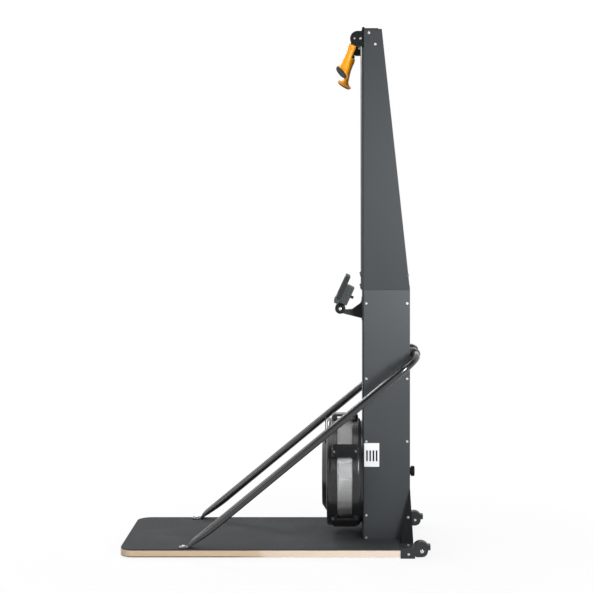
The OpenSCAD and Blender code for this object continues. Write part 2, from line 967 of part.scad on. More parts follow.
module base_gussets() {
    color(black_paint)
        for (side = [right, left])
            on_side(side)
                difference() {
                    gusset_solid();
                    translate([-gusset_t, -gusset_t, gusset_t]) gusset_solid();
                    at_gusset_bolt() screw_hole(gusset_t + 4);
                }
}

// Tower panels

// A folded channel that closes one end of the lower tower, its web at x = 0
module channel(h) {
    difference() {
        union() {
            block([fold_r, -panel_half, 0], [return_w, panel_half, h]);
            block([0, -panel_half + fold_r, 0], [return_w, panel_half - fold_r, h]);
            for (y = [-panel_half + fold_r, panel_half - fold_r])
                translate([fold_r, y, 0]) cylinder(h = h, r = fold_r);
        }
        block([sheet_t, -inner_half, -over], [return_w + over, inner_half, h + over]);
    }
}

module lower_front_panel() {
    color(charcoal) difference() {
        translate([front_x, 0, deck_z]) channel(seam_z - deck_z);
        on_axle(front_x - over) cylinder(h = return_w, r = fan_hole_r);
        for (side = [right, left])
            on_side(side) at_panel_screws() screw_hole(screw_reach);
    }
}

module lower_rear_panel() {
    color(charcoal) difference() {
        translate([rear_x, 0, deck_z]) mirror([1, 0, 0]) channel(seam_z - deck_z);
        on_axle(rear_x - return_w) cylinder(h = 2 * return_w, r = cap_bore_r);
        for (side = [right, left])
            on_side(side) at_panel_screws() screw_hole(screw_reach);
    }
}

// Outline of the vent plate's slots, as cutting blocks through the side panel at +Y
module vent_slots_cut(grow) {
    x0 = front_x + vent_from_front + vent_slot_first;
    z0 = vent_z0 + vent_slot_z0;
    for (i = [0 : vent_slots - 1])
        block(
            [x0 + i * vent_slot_pitch - vent_slot_w / 2 - grow, panel_half - over, z0 - grow],
            [
                x0 + i * vent_slot_pitch + vent_slot_w / 2 + grow,
                tower_half + vent_t + over, z0 + vent_slot_h + grow
            ]
        );
}

module lower_side_panel() {
    difference() {
        block([side_edge_x, panel_half, deck_z], [rear_x, tower_half, seam_z]);
        vent_slots_cut(1);
        at_panel_screws() screw_hole(screw_reach);
    }
}

module right_lower_panel() {
    color(charcoal) on_side(right) lower_side_panel();
}

module left_lower_panel() {
    color(charcoal) on_side(left) lower_side_panel();
}

module vent_plates() {
    x0 = front_x + vent_from_front;
    color(white_paint)
        for (side = [right, left])
            on_side(side)
                difference() {
                    block(
                        [x0, tower_half, vent_z0],
                        [x0 + vent_w, tower_half + vent_t, vent_z0 + vent_h]
                    );
                    vent_slots_cut(0);
                }
}

module panel_screws() {
    color(silver) {
        for (side = [right, left])
            on_side(side) {
                at_panel_screws() screw(screw_reach);
                at_top_bolts() screw(sheet_t + 2);
            }
        at_seam_bolts() screw(seam_bolt_reach, head_h = 4.5);
    }
}

// The upper front panel is cut away round the two pulley housings
module upper_front_panel() {
    notch_in = pulley_y - housing_half - 1;
    notch_z = pulley_z - housing_low - 5;
    color(charcoal) difference() {
        intersection() {
            upper_body(cover_x, cover_x, sheet_t, sheet_t, upper_z, tower_h);
            block([0, -tower_top_w, 0], [cover_x + upper_return_w, tower_top_w, tower_h]);
        }
        upper_body(cover_x + sheet_t, cover_x + sheet_t, -return_w, 2 * sheet_t,
            seam_z, tower_h + over);
        for (side = [right, left])
            on_side(side)
                block(
                    [cover_x - over, notch_in, notch_z],
                    [cover_x + return_w + over, tower_top_w, tower_h + over]
                );
        at_seam_bolts() screw_hole(seam_bolt_reach);
    }
}

module upper_rear_panel() {
    color(charcoal) difference() {
        upper_body(upper_rear(upper_z) - return_w / 2, upper_rear(tower_h) - return_w / 2,
            0, sheet_t, upper_z, tower_h);
        upper_body(upper_rear(seam_z) - return_w, upper_rear(tower_h + over) - return_w,
            sheet_t, 2 * sheet_t, seam_z, tower_h + over);
        at_seam_bolts() screw_hole(seam_bolt_reach);
    }
}

module upper_side_panel() {
    difference() {
        intersection() {
            upper_body(upper_side_x, upper_side_x, 0, 0, upper_z, tower_h);
            block([0, 0, 0], [overall_l, tower_top_w, tower_h]);
        }
        upper_body(0, 0, -return_w, sheet_t, seam_z, tower_h + over);
        at_top_bolts() screw_hole(sheet_t + 2);
    }
}

module right_upper_panel() {
    color(charcoal) on_side(right) upper_side_panel();
}

module left_upper_panel() {
    color(charcoal) on_side(left) upper_side_panel();
}

// Lid of the tower with a raised middle and a rolled lip at its front edge
cap_step = 5;
cap_raised_l = 68;
lip_r = 6;
lip_x = cover_x + 7;
lip_h = 10;
module top_cap() {
    color(charcoal) {
        block(
            [lip_x, -top_half, tower_h],
            [cover_x + cap_raised_l, top_half, tower_h + cap_step]
        );
        intersection() {
            along_y(lip_x, -top_half, tower_h + lip_h - lip_r) cylinder(h = tower_top_w, r = lip_r);
            block([0, -top_half, tower_h], [overall_l, top_half, tower_h + lip_h]);
        }
        block([lip_x, -top_half, tower_h], [top_rear_x, top_half, tower_h + sheet_t]);
    }
}

// Bearings and their cap

module bearing() {
    difference() {
        cylinder(h = bearing_w, r = bearing_r);
        translate([0, 0, -over]) cylinder(h = bearing_w + 2 * over, r = axle_r + run_fit);
    }
}

module axle_bearings() {
    color(silver)
        for (x = [wall_front_x, wall_rear_x])
            on_axle(x + frame_t / 2 - bearing_w / 2) bearing();
}

module rear_bearing_cap() {
    color(black_plastic)
        on_axle(rear_x)
            difference() {
                union() {
                    cylinder(h = cap_l, r = cap_neck_r);
                    cylinder(h = cap_flange_l, r1 = cap_flange_r, r2 = cap_neck_r);
                    translate([0, 0, cap_neck_l]) cylinder(h = cap_l - cap_neck_l - 2, r = cap_r);
                    translate([0, 0, cap_l - 2]) cylinder(h = 2, r1 = cap_r, r2 = cap_r - 2);
                }
                translate([0, 0, -over]) cylinder(h = cap_bore_l + over, r = cap_bore_r);
            }
}

// Fan housing

module fan_rear_cover() {
    r = fan_rim_r;
    t = fan_wall;
    w = fan_rear_w;
    back = w + fan_mount_t;
    color(black_plastic) on_axle(fan_rear_x)
        rotate_extrude()
            polygon(concat(
                [[fan_hole_r, back], [fan_hole_r, w - t], [fan_r - t - r, w - t]],
                arc([fan_r - t - r, w - t - r + 1], r - 1, 90, 0, 5),
                [[fan_r - t - 1, 0], [band_in_r - band_seat - lip_t, 0]],
                [[band_in_r - band_seat - lip_t, -lip_l], [band_in_r - band_seat, -lip_l]],
                [[band_in_r - band_seat, 0], [fan_r, 0]],
                arc([fan_r - r, w - r], r, 0, 90, 5),
                [[fan_mount_r, w], [fan_mount_r, back]]
            ));
}

module fan_mesh_band() {
    color(silver) on_axle(fan_band_x)
        difference() {
            cylinder(h = fan_band_w, r = band_out_r);
            translate([0, 0, -over]) cylinder(h = fan_band_w + 2 * over, r = band_in_r);
        }
}

// The front cover: a rim, a flat ring and a dome with wedge openings in its face.
// Distances along the axle are measured from the dome's face.
module fan_front_shell() {
    r = fan_rim_r;
    t = fan_wall;
    ring = fan_dome_h;
    back = fan_dome_h + fan_front_w;
    rotate_extrude()
        polygon(concat(
            [[0, 0], [dome_top_r, 0], [dome_base_r, ring]],
            [[fan_r - r, ring]],
            arc([fan_r - r, ring + r], r, -90, 0, 5),
            [[fan_r, back], [band_in_r - band_seat, back]],
            [[band_in_r - band_seat, back + lip_l], [band_in_r - band_seat - lip_t, back + lip_l]],
            [[band_in_r - band_seat - lip_t, back], [fan_r - t - 1, back]],
            [[fan_r - t - 1, back - 1]],
            arc([fan_r - t - r, ring + t + r - 1], r - 1, 0, -90, 5),
            [[dome_base_r - t / 2, ring + t], [dome_top_r - t / 2, t], [spigot_r, t]],
            [[spigot_r, t + damper_gap + damper_t + 1], [0, t + damper_gap + damper_t + 1]]
        ));
}

// Local angle, about the axle, that points straight up
up_deg = 180;

module fan_front_cover() {
    slot_spread = damper_travel + 2 * asin((lever_w / 2 + slide_fit) / dome_top_r);
    color(black_plastic) on_axle(fan_dome_x)
        difference() {
            fan_front_shell();
            for (i = [0 : intake_count - 1])
                translate([0, 0, -over])
                    linear_extrude(height = fan_wall + 2 * over)
                        sector(intake_in_r, intake_out_r, up_deg + i * 360 / intake_count,
                            intake_deg);
            translate([0, 0, lever_x - fan_dome_x - slide_fit])
                linear_extrude(height = lever_t + 2 * slide_fit)
                    sector(dome_top_r - 2, dome_base_r + 2, up_deg + damper_travel / 2,
                        slot_spread);
        }
}

// Turns +Z to the outward direction at an angle above the near side
module at_bridge(angle) {
    translate([0, 0, axle_z]) rotate([90 - angle, 0, 0]) children();
}

// One bridge, drawn at the top of the fan: two feet and a raised span with round ends
module fan_bridge() {
    foot_r = fan_r + bridge_seat;
    end = bridge_end_r;
    difference() {
        intersection() {
            translate([0, bridge_w / 2, 0]) rotate([90, 0, 0])
                linear_extrude(height = bridge_w)
                    polygon(concat(
                        [[bridge_front_x, foot_r - 10]],
                        arc([bridge_front_x + end, bridge_out_r - end], end, 180, 90, 5),
                        arc([bridge_rear_x - end, bridge_out_r - end], end, 90, 0, 5),
                        [[bridge_rear_x, foot_r - 10]]
                    ));
            linear_extrude(height = 2 * fan_r)
                union() {
                    translate([bridge_front_x + end, -bridge_w / 2])
                        square([bridge_rear_x - bridge_front_x - 2 * end, bridge_w]);
                    translate([bridge_front_x, -bridge_w / 2 + end])
                        square([bridge_rear_x - bridge_front_x, bridge_w - 2 * end]);
                    for (x = [bridge_front_x + end, bridge_rear_x - end])
                        for (y = [-bridge_w / 2 + end, bridge_w / 2 - end])
                            translate([x, y]) circle(r = end);
                }
        }
        rotate([0, 90, 0]) cylinder(h = overall_l, r = foot_r);
        block(
            [bridge_front_x + bridge_foot, -bridge_w, 0],
            [bridge_rear_x - bridge_foot, bridge_w, bridge_out_r - bridge_t]
        );
        for (x = [bridge_front_x + bridge_bolt_in, bridge_rear_x - bridge_bolt_in])
            translate([x, 0, bridge_out_r - bridge_bolt_recess]) {
                cylinder(h = 2 * bridge_bolt_recess, r = bridge_bolt_pocket_r);
                screw_hole(2 * bridge_bolt_recess);
            }
    }
}

module fan_spacers() {
    color(black_plastic)
        for (angle = bridge_angles)
            at_bridge(angle) fan_bridge();
}

module fan_screws() {
    reach = bridge_out_r - bridge_bolt_recess - fan_r - bridge_seat;
    color(silver)
        for (angle = bridge_angles)
            at_bridge(angle)
                for (x = [bridge_front_x + bridge_bolt_in, bridge_rear_x - bridge_bolt_in])
                    translate([x, 0, bridge_out_r - bridge_bolt_recess]) screw(reach);
}

// The damper: a disc with the same openings, and a lever that stands up in front of the ring
module damper() {
    disc_x = fan_wall + damper_gap;
    lever_at = lever_x - fan_dome_x;
    color(black_plastic) on_axle(fan_dome_x) {
        difference() {
            translate([0, 0, disc_x]) cylinder(h = damper_t, r = damper_disc_r);
            translate([0, 0, disc_x - over])
                cylinder(h = damper_t + 2 * over, r = spigot_r + run_fit);
            for (i = [0 : intake_count - 1])
                translate([0, 0, disc_x - over])
                    linear_extrude(height = damper_t + 2 * over)
                        sector(intake_in_r, intake_out_r, up_deg + i * 360 / intake_count,
                            intake_deg);
        }
        translate([-damper_disc_r + 1, -lever_w / 2, disc_x])
            cube([8, lever_w, lever_at + lever_t - disc_x]);
        translate([-lever_top_r + lever_w / 2, -lever_w / 2, lever_at])
            cube([lever_top_r - lever_w / 2 - damper_disc_r + 9, lever_w, lever_t]);
        translate([-lever_top_r + lever_w / 2, 0, lever_at]) cylinder(h = lever_t, r = lever_w / 2);
    }
}

// Flywheel

module flywheel_fan() {
    color(silver) on_axle(flywheel_x)
        difference() {
            union() {
                cylinder(h = flywheel_disc_t, r = flywheel_r);
                translate([0, 0, -blade_l])
                    cylinder(h = blade_l + flywheel_disc_t, r = flywheel_hub_r);
                for (i = [0 : blade_count - 1])
                    rotate([0, 0, i * 360 / blade_count])
                        translate([blade_in_r, -blade_t / 2, -blade_l])
                            cube([flywheel_r - blade_in_r - 1, blade_t, blade_l + 1]);
            }
            translate([0, 0, -blade_l - over])
                cylinder(h = blade_l + flywheel_disc_t + 2 * over, r = axle_r + pin_fit);
        }
}

// The axle with a nut that clamps the fan at its front end
module flywheel_axle() {
    color(silver) {
        on_axle(axle_front_x) cylinder(h = axle_rear_x - axle_front_x, r = axle_r);
        on_axle(flywheel_x - blade_l - axle_nut_h)
            cylinder(h = axle_nut_h, r = axle_r * nut_ratio, $fn = 6);
        on_axle(flywheel_x + flywheel_disc_t) cylinder(h = axle_nut_h, r = axle_r * nut_ratio);
    }
}

// One drum: a wide groove for the pull cord and a narrow one for the return cord
module drum() {
    t = drum_flange_t;
    groove_x = drum_l - t - return_w_groove;
    difference() {
        union() {
            cylinder(h = t, r = drum_flange_r);
            cylinder(h = groove_x, r = drum_core_r);
            translate([0, 0, groove_x - t]) cylinder(h = t, r = drum_flange_r);
            cylinder(h = drum_l, r = return_core_r);
            translate([0, 0, drum_l - t]) cylinder(h = t, r = return_flange_r);
        }
        translate([0, 0, -over]) cylinder(h = drum_l + 2 * over, r = axle_r + run_fit);
    }
}

// The turns of cord on a drum, as one sleeve
module winding() {
    t = drum_flange_t;
    translate([0, 0, t + winding_gap])
        difference() {
            cylinder(h = drum_rope_w - 2 * winding_gap, r = winding_r);
            translate([0, 0, -over])
                cylinder(h = drum_rope_w + 2 * over, r = drum_core_r + winding_gap);
        }
}

module right_drum() {
    color(black_plastic) on_axle(drum_front_x) drum();
}

module left_drum() {
    color(black_plastic) on_axle(drum_front_x + drum_pitch) drum();
}

module right_winding() {
    color(cord_black) on_axle(drum_front_x) winding();
}

module left_winding() {
    color(cord_black) on_axle(drum_front_x + drum_pitch) winding();
}

// Elastic cords that wind the drums back, from the drums up to the anchor plate
module return_cords() {
    x0 = drum_front_x + drum_l - drum_flange_t - return_w_groove / 2;
    color(cord_black)
        for (p = [[x0, return_cord_r], [x0 + drum_pitch, -return_cord_r]])
            translate([p[0], p[1], return_end_z])
                cylinder(h = anchor_z - return_end_z, r = return_cord_d / 2);
}

// Pulleys and cords

module pulley() {
    bore = pulley_axle_r + run_fit;
    h = pulley_half;
    rotate_extrude()
        polygon([
            [bore, -h], [pulley_r, -h], [pulley_r, -h + rim_w], [groove_r, -groove_half],
            [groove_r, groove_half], [pulley_r, h - rim_w], [pulley_r, h], [bore, h]
        ]);
}

module right_front_pulley() {
    color(black_plastic) along_y(pulley_x, -pulley_y, pulley_z) pulley();
}

module left_front_pulley() {
    color(black_plastic) along_y(pulley_x, pulley_y, pulley_z) pulley();
}

module right_top_pulley() {
    color(black_plastic) along_y(inner_pulley_x, -pulley_y, inner_pulley_z) pulley();
}

module left_top_pulley() {
    color(black_plastic) along_y(inner_pulley_x, pulley_y, inner_pulley_z) pulley();
}

// Where the cord leaves the front pulley, and the way it then runs, for a handle's tilt
function leave_x(tilt) = pulley_x - cord_line_r * cos(tilt);
function leave_z(tilt) = pulley_z + cord_line_r * sin(tilt);
function down_x(tilt) = -sin(tilt);
function down_z(tilt) = -cos(tilt);

// Places a handle: the origin at its top, the grip along -Z
module at_handle(side, tilt, drop) {
    translate([
        leave_x(tilt) + drop * down_x(tilt), side * pulley_y, leave_z(tilt) + drop * down_z(tilt)
    ]) rotate([0, tilt, 0]) children();
}

// One side of a housing: a round nose and a straight part that stands on the cross member
module housing_plate(r, low, leg) {
    union() {
        translate([housing_x, pulley_z]) circle(r = r);
        translate([housing_x, pulley_z - low])
            square([housing_rear_x - housing_x, low + r]);
        if (leg)
            translate([cross_rear_x - housing_leg_w, cross_z + frame_t])
                square([housing_leg_w, pulley_z - cross_z - frame_t]);
    }
}

module pulley_housing(tilt) {
    difference() {
        translate([0, pulley_y + housing_half, 0]) rotate([90, 0, 0])
            linear_extrude(height = 2 * housing_half)
                housing_plate(housing_r, housing_low, true);
        translate([0, pulley_y + cheek_half, 0]) rotate([90, 0, 0])
            linear_extrude(height = 2 * cheek_half) {
                housing_plate(housing_r - housing_wall, housing_low + over, false);
                translate([cross_rear_x - housing_leg_w - over, cross_z])
                    square([housing_leg_w + 30, pulley_z - cross_z]);
                translate([housing_x + housing_r, pulley_z - housing_low - over])
                    square([housing_rear_x - housing_x, 2 * housing_low]);
            }
        translate([leave_x(tilt), pulley_y, leave_z(tilt)]) rotate([0, tilt, 0])
            block(
                [-cord_slot_w / 2, -cord_slot_w / 2, -2 * housing_r],
                [cord_slot_w / 2, cord_slot_w / 2, 0]
            );
        for (p = [[pulley_x, pulley_z], [inner_pulley_x, inner_pulley_z]])
            along_y(p[0], 0, p[1]) cylinder(h = tower_top_w, r = pulley_axle_r + pin_fit);
    }
}

module right_pulley_housing() {
    color(black_plastic) on_side(right) pulley_housing(right_tilt);
}

module left_pulley_housing() {
    color(black_plastic) on_side(left) pulley_housing(left_tilt);
}

// Pins of the four pulleys, and the second screw on the outside of each housing
module pulley_axles() {
    color(silver)
        for (side = [right, left])
            on_side(side) {
                along_y(pulley_x, pulley_y - housing_half, pulley_z) {
                    cylinder(h = 2 * housing_half, r = pulley_axle_r);
                    translate([0, 0, 2 * housing_half])
                        cylinder(h = axle_head_h, r1 = axle_head_r, r2 = axle_head_r - 1.5);
                }
                along_y(inner_pulley_x, pulley_y - housing_half, inner_pulley_z)
                    cylinder(h = 2 * housing_half, r = pulley_axle_r);
                along_y(housing_screw_x, pulley_y + housing_half, pulley_z)
                    cylinder(h = 1.5, r1 = 4.5, r2 = 3.5);
            }
}

// The middle line of a pull cord, from inside its handle to its drum, at +Y
function cord_line(tilt, drop, drum_x) = concat(
    [
        for (s = [drop + cord_in_grip, 0])
            [leave_x(tilt) + s * down_x(tilt), pulley_y, leave_z(tilt) + s * down_z(tilt)]
    ],
    [
        for (i = [1 : arc_steps])
            let (a = 180 - tilt + (run_angle - 180 + tilt) * i / arc_steps)
            [pulley_x + cord_line_r * cos(a), pulley_y, pulley_z + cord_line_r * sin(a)]
    ],
    [
        for (i = [0 : arc_steps / 2])
            let (a = run_angle * (1 - 2 * i / arc_steps))
            [
                inner_pulley_x + cord_line_r * cos(a), pulley_y,
                inner_pulley_z + cord_line_r * sin(a)
            ]
    ],
    [[drum_x, cord_drum_r, cord_end_z]]
);

module right_cord() {
    color(cord_black) on_side(right)
        swept(cord_line(right_tilt, right_drop, drum_front_x + cord_lands), cord_r, [0, 1, 0], 8);
}

module left_cord() {
    color(cord_black) on_side(left)
        swept(
            cord_line(left_tilt, left_drop, drum_front_x + drum_pitch + cord_lands),
            cord_r, [0, 1, 0], 8
        );
}

// Handles

// Turns the hand rest at the grip's end
module at_rest() {
    translate([0, 0, -grip_l]) rotate([rest_turn, rest_slant, 0]) children();
}

// A disc with rounded edges, below the plane z = 0
module rounded_disc(r, t) {
    e = min(grip_edge_r, t / 2);
    rotate_extrude()
        polygon(concat(
            [[0, 0]],
            arc([r - e, -e], e, 90, 0, 4),
            arc([r - e, -t + e], e, 0, -90, 4),
            [[0, -t]]
        ));
}

module grip() {
    e = grip_edge_r;
    difference() {
        union() {
            rotate_extrude()
                polygon(concat(
                    [[0, 0]],
                    arc([grip_r - e, -e], e, 90, 0, 4),
                    [
                        [grip_waist_r, -waist_z], [grip_waist_r + 0.5, -swell_z],
                        [grip_flare_r, -flare_z], [0, -flare_z]
                    ]
                ));
            hull() {
                translate([0, 0, -flare_z]) cylinder(h = 1, r = grip_flare_r, $fn = blend_fn);
                at_rest() translate([0, 0, -1]) cylinder(h = 2, r = rest_neck_r, $fn = blend_fn);
            }
            at_rest() rounded_disc(rest_r, rest_t);
        }
        translate([0, 0, -cord_in_grip - 4])
            cylinder(h = cord_in_grip + 4 + over, r = cord_r + grip_bore_gap);
    }
}

// The soft pad under the hand rest
module rest_pad() {
    at_rest() translate([0, 0, -rest_t]) rounded_disc(rest_r - pad_inset, pad_t);
}

module right_handle_grip() {
    color(handle_yellow) on_side(right) at_handle(left, right_tilt, right_drop) grip();
}

module left_handle_grip() {
    color(handle_yellow) on_side(left) at_handle(left, left_tilt, left_drop) grip();
}

module right_handle_pad() {
    color(black_plastic) on_side(right) at_handle(left, right_tilt, right_drop) rest_pad();
}

module left_handle_pad() {
    color(black_plastic) on_side(left) at_handle(left, left_tilt, left_drop) rest_pad();
}

// Monitor

// The monitor's own frame at its pivot
module at_monitor() {
    translate([pivot_x, 0, monitor_pivot_z]) rotate([0, monitor_lean, 0]) children();
}

module monitor_arm() {
    z = monitor_pivot_z;
    x = pivot_x;
    color(black_plastic) difference() {
        union() {
            translate([0, arm_w / 2, 0]) rotate([90, 0, 0])
                linear_extrude(height = arm_w)
                    polygon([
                        [x + 5, z - 19], [front_x, z - 41.5], [front_x, z + 43],
                        [front_x - 7.5, z + 23], [front_x - 43.5, z - 3], [x + 20, z - 4.5],
                        [x + 5, z + 10]
                    ]);
            along_y(x, -arm_w / 2, z) cylinder(h = arm_w, r = arm_knuckle_r);
            block(
                [front_x - arm_flange_t, -arm_flange_w / 2, z - 47],
                [front_x, arm_flange_w / 2, z - 47 + arm_flange_h]
            );
        }
        for (side = [right, left])
            on_side(side)
                translate([0, arm_w, 0]) rotate([90, 0, 0])
                    linear_extrude(height = arm_w / 2 + arm_rib_t)
                        polygon([
                            [x + 34, z - 14], [front_x - 9, z - 30], [front_x - 9, z + 12],
                            [front_x - 40, z - 9]
                        ]);
        along_y(x, -arm_w, z) cylinder(h = 2 * arm_w, r = pivot_bolt_r + pin_fit);
    }
}

module monitor_pivot_bolt() {
    half = arm_w / 2 + lug_gap + lug_t;
    color(silver)
        along_y(pivot_x, -half - slide_fit / 2, monitor_pivot_z) {
            cylinder(h = 2 * half + slide_fit, r = pivot_bolt_r);
            translate([0, 0, -pivot_head_h])
                cylinder(h = pivot_head_h, r1 = pivot_head_r - 2, r2 = pivot_head_r);
            translate([0, 0, 2 * half + slide_fit])
                cylinder(h = pivot_head_h, r1 = pivot_head_r, r2 = pivot_head_r - 2);
        }
}

// The case: chin, rear box, knob and the two lugs, hollow behind the bezel
module monitor_case() {
    lug_in = arm_w / 2 + lug_gap;
    half = monitor_w / 2;
    color(black_plastic) at_monitor() difference() {
        union() {
            block([face_x, -half, chin_z0], [split_x, half, chin_z1]);
            block([split_x, -back_w / 2, back_z0], [back_x, back_w / 2, back_z1]);
            block([split_x - 1, -back_w / 2, back_z0], [split_x, back_w / 2, chin_z1]);
            translate([back_x, 0, knob_z]) rotate([0, 90, 0]) cylinder(h = knob_l, r = knob_r);
            for (side = [right, left])
                on_side(side) {
                    along_y(0, lug_in, 0) cylinder(h = lug_t, r = lug_r);
                    block([-lug_r, lug_in, 0], [back_x - 4, lug_in + lug_t, back_z0 + case_wall]);
                }
        }
        block(
            [split_x - over, -back_w / 2 + case_wall, chin_z1 + over],
            [back_x - case_wall, back_w / 2 - case_wall, back_z1 - case_wall]
        );
        for (i = [0 : key_count - 1])
            key_block(i, key_fit, key_t + key_travel + key_fit);
        along_y(0, -arm_w, 0) cylinder(h = 2 * arm_w, r = pivot_bolt_r + run_fit);
    }
}

// A key's well or, with no growth, the key's own stem
module key_block(i, grow, depth) {
    y = (i - (key_count - 1) / 2) * key_pitch;
    block(
        [face_x - over, y - key_w / 2 - grow, key_z - key_h / 2 - grow],
        [face_x + depth, y + key_w / 2 + grow, key_z + key_h / 2 + grow]
    );
}

module monitor_key(i) {
    y = (i - (key_count - 1) / 2) * key_pitch;
    color(frame_steel) at_monitor()
        block(
            [face_x - key_proud, y - key_w / 2, key_z - key_h / 2],
            [face_x + key_t, y + key_w / 2, key_z + key_h / 2]
        );
}

module monitor_key_1() {
    monitor_key(0);
}

module monitor_key_2() {
    monitor_key(1);
}

module monitor_key_3() {
    monitor_key(2);
}

module monitor_key_4() {
    monitor_key(3);
}

module monitor_bezel() {
    half = monitor_w / 2;
    color(black_plastic) at_monitor() difference() {
        block([face_x, -half, bezel_z0], [split_x, half, bezel_z1]);
        block(
            [face_x - over, -window_w / 2, window_z],
            [face_x + 4, window_w / 2, window_z + window_h]
        );
        block(
            [face_x + 2 * case_wall + 4, -half + case_wall, bezel_z0 + case_wall],
            [split_x - case_wall, half - case_wall, bezel_z1 - case_wall]
        );
    }
}

module monitor_screen() {
    s = screen_fit;
    color(screen_grey) at_monitor()
        block(
            [face_x + 4 - screen_t, -window_w / 2 + s, window_z + s],
            [face_x + 4, window_w / 2 - s, window_z + window_h - s]
        );
}

platform_board();
platform_mat();
platform_feet();
right_corner_bracket();
left_corner_bracket();
base_bolts();
brace_tube();
brace_saddles();
tower_frame();
base_gussets();
lower_front_panel();
lower_rear_panel();
right_lower_panel();
left_lower_panel();
panel_screws();
vent_plates();
upper_front_panel();
upper_rear_panel();
right_upper_panel();
left_upper_panel();
top_cap();
axle_bearings();
rear_bearing_cap();
fan_rear_cover();
fan_mesh_band();
fan_front_cover();
fan_spacers();
fan_screws();
right_pulley_housing();
left_pulley_housing();
right_cord();
left_cord();
return_cords();
pulley_axles();
monitor_arm();
monitor_pivot_bolt();
flywheel_fan();
flywheel_axle();
right_drum();
left_drum();
right_winding();
left_winding();
right_handle_grip();
left_handle_grip();
right_handle_pad();
left_handle_pad();
right_top_pulley();
left_top_pulley();
right_front_pulley();
left_front_pulley();
right_wheel();
left_wheel();
monitor_case();
monitor_bezel();
monitor_screen();
monitor_key_1();
monitor_key_2();
monitor_key_3();
monitor_key_4();
damper();
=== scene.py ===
"""Looks of a ski trainer machine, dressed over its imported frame.

Metres, +Z up. The user stands at -X and faces +X, so the machine's right side is -Y.
"""

import json
from math import atan2, copysign, cos, degrees, pi, radians, sin

import bmesh
import bpy
from mathutils import Euler, Matrix, Vector
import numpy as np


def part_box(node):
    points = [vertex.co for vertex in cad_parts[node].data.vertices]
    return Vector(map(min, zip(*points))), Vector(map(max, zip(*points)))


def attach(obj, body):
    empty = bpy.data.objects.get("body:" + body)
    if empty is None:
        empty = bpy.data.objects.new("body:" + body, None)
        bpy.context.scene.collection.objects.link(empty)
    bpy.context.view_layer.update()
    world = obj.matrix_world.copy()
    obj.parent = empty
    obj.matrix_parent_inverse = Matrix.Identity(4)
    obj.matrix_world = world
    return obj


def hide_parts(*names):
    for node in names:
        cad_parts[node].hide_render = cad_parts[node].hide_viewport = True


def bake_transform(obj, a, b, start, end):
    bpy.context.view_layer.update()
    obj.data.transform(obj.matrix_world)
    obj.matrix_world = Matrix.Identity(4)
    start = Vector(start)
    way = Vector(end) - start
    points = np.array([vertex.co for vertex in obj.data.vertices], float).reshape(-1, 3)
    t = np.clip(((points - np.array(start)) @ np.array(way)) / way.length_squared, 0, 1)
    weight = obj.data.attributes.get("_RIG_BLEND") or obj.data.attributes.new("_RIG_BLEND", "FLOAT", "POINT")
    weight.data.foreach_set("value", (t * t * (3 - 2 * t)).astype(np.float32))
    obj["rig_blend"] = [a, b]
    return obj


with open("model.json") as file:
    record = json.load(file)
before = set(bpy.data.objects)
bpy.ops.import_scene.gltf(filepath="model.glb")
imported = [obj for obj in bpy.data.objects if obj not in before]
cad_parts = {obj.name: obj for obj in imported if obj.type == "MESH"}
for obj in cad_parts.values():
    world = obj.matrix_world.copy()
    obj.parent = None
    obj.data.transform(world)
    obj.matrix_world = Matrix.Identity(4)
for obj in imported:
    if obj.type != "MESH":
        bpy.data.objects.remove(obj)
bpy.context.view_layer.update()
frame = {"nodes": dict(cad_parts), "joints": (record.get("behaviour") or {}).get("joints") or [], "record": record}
nodes = frame["nodes"]
bodies = frame["record"]["behaviour"]["bodies"]
slot_of = {part["node"]: part["material_slot"] for part in frame["record"]["subparts"]}
body_of = {node: body for body, names in bodies.items() for node in names}

MM = 0.001
RIGHT, LEFT = -1, 1
SIDES = {"right": RIGHT, "left": LEFT}


# Shader tools


def feed(tree, node, inputs):
    """Sets a node's inputs, each to a number, to a colour or to the socket that feeds it."""
    for name, value in inputs.items():
        socket = node.inputs[name]
        if isinstance(value, bpy.types.NodeSocket):
            tree.links.new(value, socket)
        elif socket.type == "RGBA":
            socket.default_value = (*value, 1.0)
        else:
            socket.default_value = value


def add(tree, kind, inputs=None, **settings):
    """A new shader node with its settings and inputs."""
    node = tree.nodes.new("ShaderNode" + kind)
    for name, value in settings.items():
        setattr(node, name, value)
    feed(tree, node, inputs or {})
    return node


def calc(tree, operation, first, second=0.0, clamp=False):
    """The output of one sum of two values."""
    sums = {0: first, 1: second}
    return add(tree, "Math", sums, operation=operation, use_clamp=clamp).outputs[0]


def swing(tree, value, gain):
    """How far a value is from a half, times a gain."""
    return calc(tree, "MULTIPLY", calc(tree, "SUBTRACT", value, 0.5), gain)


def vector_calc(tree, operation, first, second=(0.0, 0.0, 0.0)):
    """One sum of two vectors."""
    return add(tree, "VectorMath", {0: first, 1: second}, operation=operation)


def spread(tree, value, low, high, to_low=0.0, to_high=1.0):
    """Stretches the range low to high over another range, and stays inside it."""
    ends = {"From Min": low, "From Max": high, "To Min": to_low, "To Max": to_high}
    return add(tree, "MapRange", {"Value": value, **ends}).outputs["Result"]


# The mix node's sockets when it mixes colours
MIX_SHARE, MIX_FIRST, MIX_SECOND, MIX_RESULT = 0, 6, 7, 2


def mix(tree, share, first, second, how="MIX"):
    """Mixes two colours by a share from 0 to 1."""
    inputs = {MIX_SHARE: share, MIX_FIRST: first, MIX_SECOND: second}
    return add(tree, "Mix", inputs, data_type="RGBA", blend_type=how).outputs[MIX_RESULT]


FLOAT, VECTOR, COLOUR = "NodeSocketFloat", "NodeSocketVector", "NodeSocketColor"


